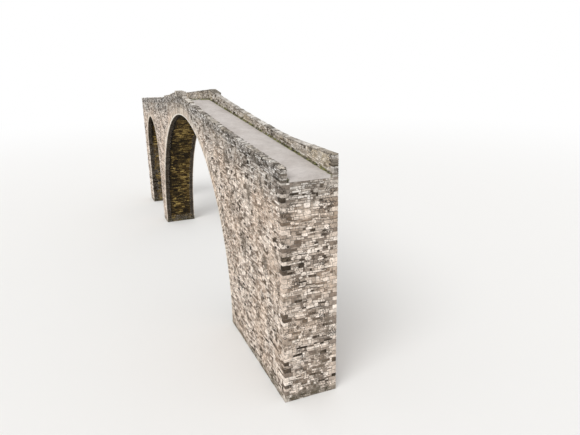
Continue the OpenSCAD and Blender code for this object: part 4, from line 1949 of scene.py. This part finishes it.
@dataclass(frozen=True)
class Studio:
    """Pale floor, soft light and the camera at the photograph's viewing angle."""

    eye: tuple[float, float, float] = (28.736, -6.551, 11.496)
    azimuth: float = 67.337
    pitch: float = 17.67
    roll: float = -0.919
    lens: float = 32.306
    sensor_w: float = 36.0
    floor_half: float = 900.0
    # The floor fades to white between these distances from the bridge
    fade_start: float = 18.0
    fade_end: float = 75.0
    sky_strength: float = 0.72
    sun_strength: float = 1.35
    sun_width: float = 35.0
    sun_from: tuple[float, float, float] = (0.55, -0.75, 1.0)

    def camera(self) -> None:
        """Sets the camera up."""
        heading, down, roll = (math.radians(value) for value in (self.azimuth, self.pitch, self.roll))
        forward = Vector((-math.sin(heading) * math.cos(down), math.cos(heading) * math.cos(down),
                          -math.sin(down)))
        level = Vector((math.cos(heading), math.sin(heading), 0.0))
        upright = level.cross(forward)
        right = level * math.cos(roll) + upright * math.sin(roll)
        up = upright * math.cos(roll) - level * math.sin(roll)
        data = bpy.data.cameras.new("camera")
        data.sensor_width = self.sensor_w
        data.lens = self.lens
        data.clip_end = 3 * FAR_AWAY
        eye = bpy.data.objects.new("camera", data)
        bpy.context.scene.collection.objects.link(eye)
        turn = Matrix((right, up, -forward)).transposed()
        eye.matrix_world = Matrix.Translation(Vector(self.eye)) @ turn.to_4x4()
        bpy.context.scene.camera = eye

    def light(self) -> None:
        """Sets a broad sun and a plain white sky."""
        data = bpy.data.lights.new("soft_sun", "SUN")
        data.energy = self.sun_strength
        data.angle = math.radians(self.sun_width)
        sun = bpy.data.objects.new("soft_sun", data)
        bpy.context.scene.collection.objects.link(sun)
        sun.rotation_euler = Vector(self.sun_from).to_track_quat("Z", "Y").to_euler()
        world = bpy.data.worlds.new("white_room")
        bpy.context.scene.world = world
        world.use_nodes = True
        tree, white = world.node_tree, linear("#FFFFFF")
        light = add_node(tree, Step.SKY, white, self.sky_strength)
        view = add_node(tree, Step.SKY, white, 1.0)
        mixed = add_node(tree, Step.EITHER, self.seen(tree), light, view)
        tree.links.new(mixed, tree.nodes["World Output"].inputs[0])

    def seen(self, tree: bpy.types.NodeTree) -> Socket:
        """Gives 1 for rays that see the background: the camera's, and what a surface mirrors or passes."""
        rays = [add_node(tree, ray) for ray in (Step.CAMERA_RAY, Step.MIRRORED_RAY, Step.PASSED_RAY)]
        return add_node(tree, Step.GREATEST, add_node(tree, Step.GREATEST, *rays[:2]), rays[2])

    def floor(self) -> None:
        """Lays a pale floor that keeps the bridge's shadow."""
        mesh = bpy.data.meshes.new("studio_floor")
        half = self.floor_half
        mesh.from_pydata([(-half, -half, 0), (half, -half, 0), (half, half, 0), (-half, half, 0)], [],
                         [(0, 1, 2, 3)])
        floor = bpy.data.objects.new("studio_floor", mesh)
        bpy.context.scene.collection.objects.link(floor)
        # Painted board, white and quite matt, so that nothing but the bridge's shadow shows on it
        coats = Coats("matt_white_board", 1.0)
        coats.surface.inputs["Base Color"].default_value = linear("#F2F1EF")
        # Far from the bridge the camera sees plain white, so that no horizon shows
        far = coats.add(Step.DISTANCE, coats.where, (0.0, 0.0, 0.0))
        fade = coats.add(Step.RANGE, far, self.fade_start, self.fade_end)
        share = coats.add(Step.MULTIPLY, fade, self.seen(coats.tree))
        white = coats.add(Step.GLOW, linear("#FFFFFF"), 1.0)
        mixed = coats.add(Step.EITHER, share, coats.surface.outputs[0], white)
        coats.tree.links.new(mixed, coats.tree.nodes["Material Output"].inputs[0])
        mesh.materials.append(coats.material)

    def build(self) -> None:
        """Sets up the stage."""
        self.camera()
        self.light()
        self.floor()
        bpy.context.scene.view_settings.view_transform = "Standard"


def write_sizes() -> None:
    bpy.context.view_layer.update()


def main() -> None:
    """Builds the sub-assemblies in order."""
    logging.basicConfig(level=logging.INFO, format="%(message)s")
    Studio().build()
    finishes = Finishes()
    masonry = Masonry()
    MortarBeds(finishes).build()
    for side in Side:
        LongFace(side, masonry, finishes).build()
    CrossFaces(masonry, finishes).build()
    for arch in FORM.arches:
        ArchStones(arch, masonry, finishes).build()
    for side in Side:
        Parapet(side, masonry, finishes).build()
    for side in Side:
        CrestStones(side, masonry, finishes).build()
    Roadway(finishes).build()
    Fill(finishes).build()
    write_sizes()


if __name__ == "__main__":
    main()
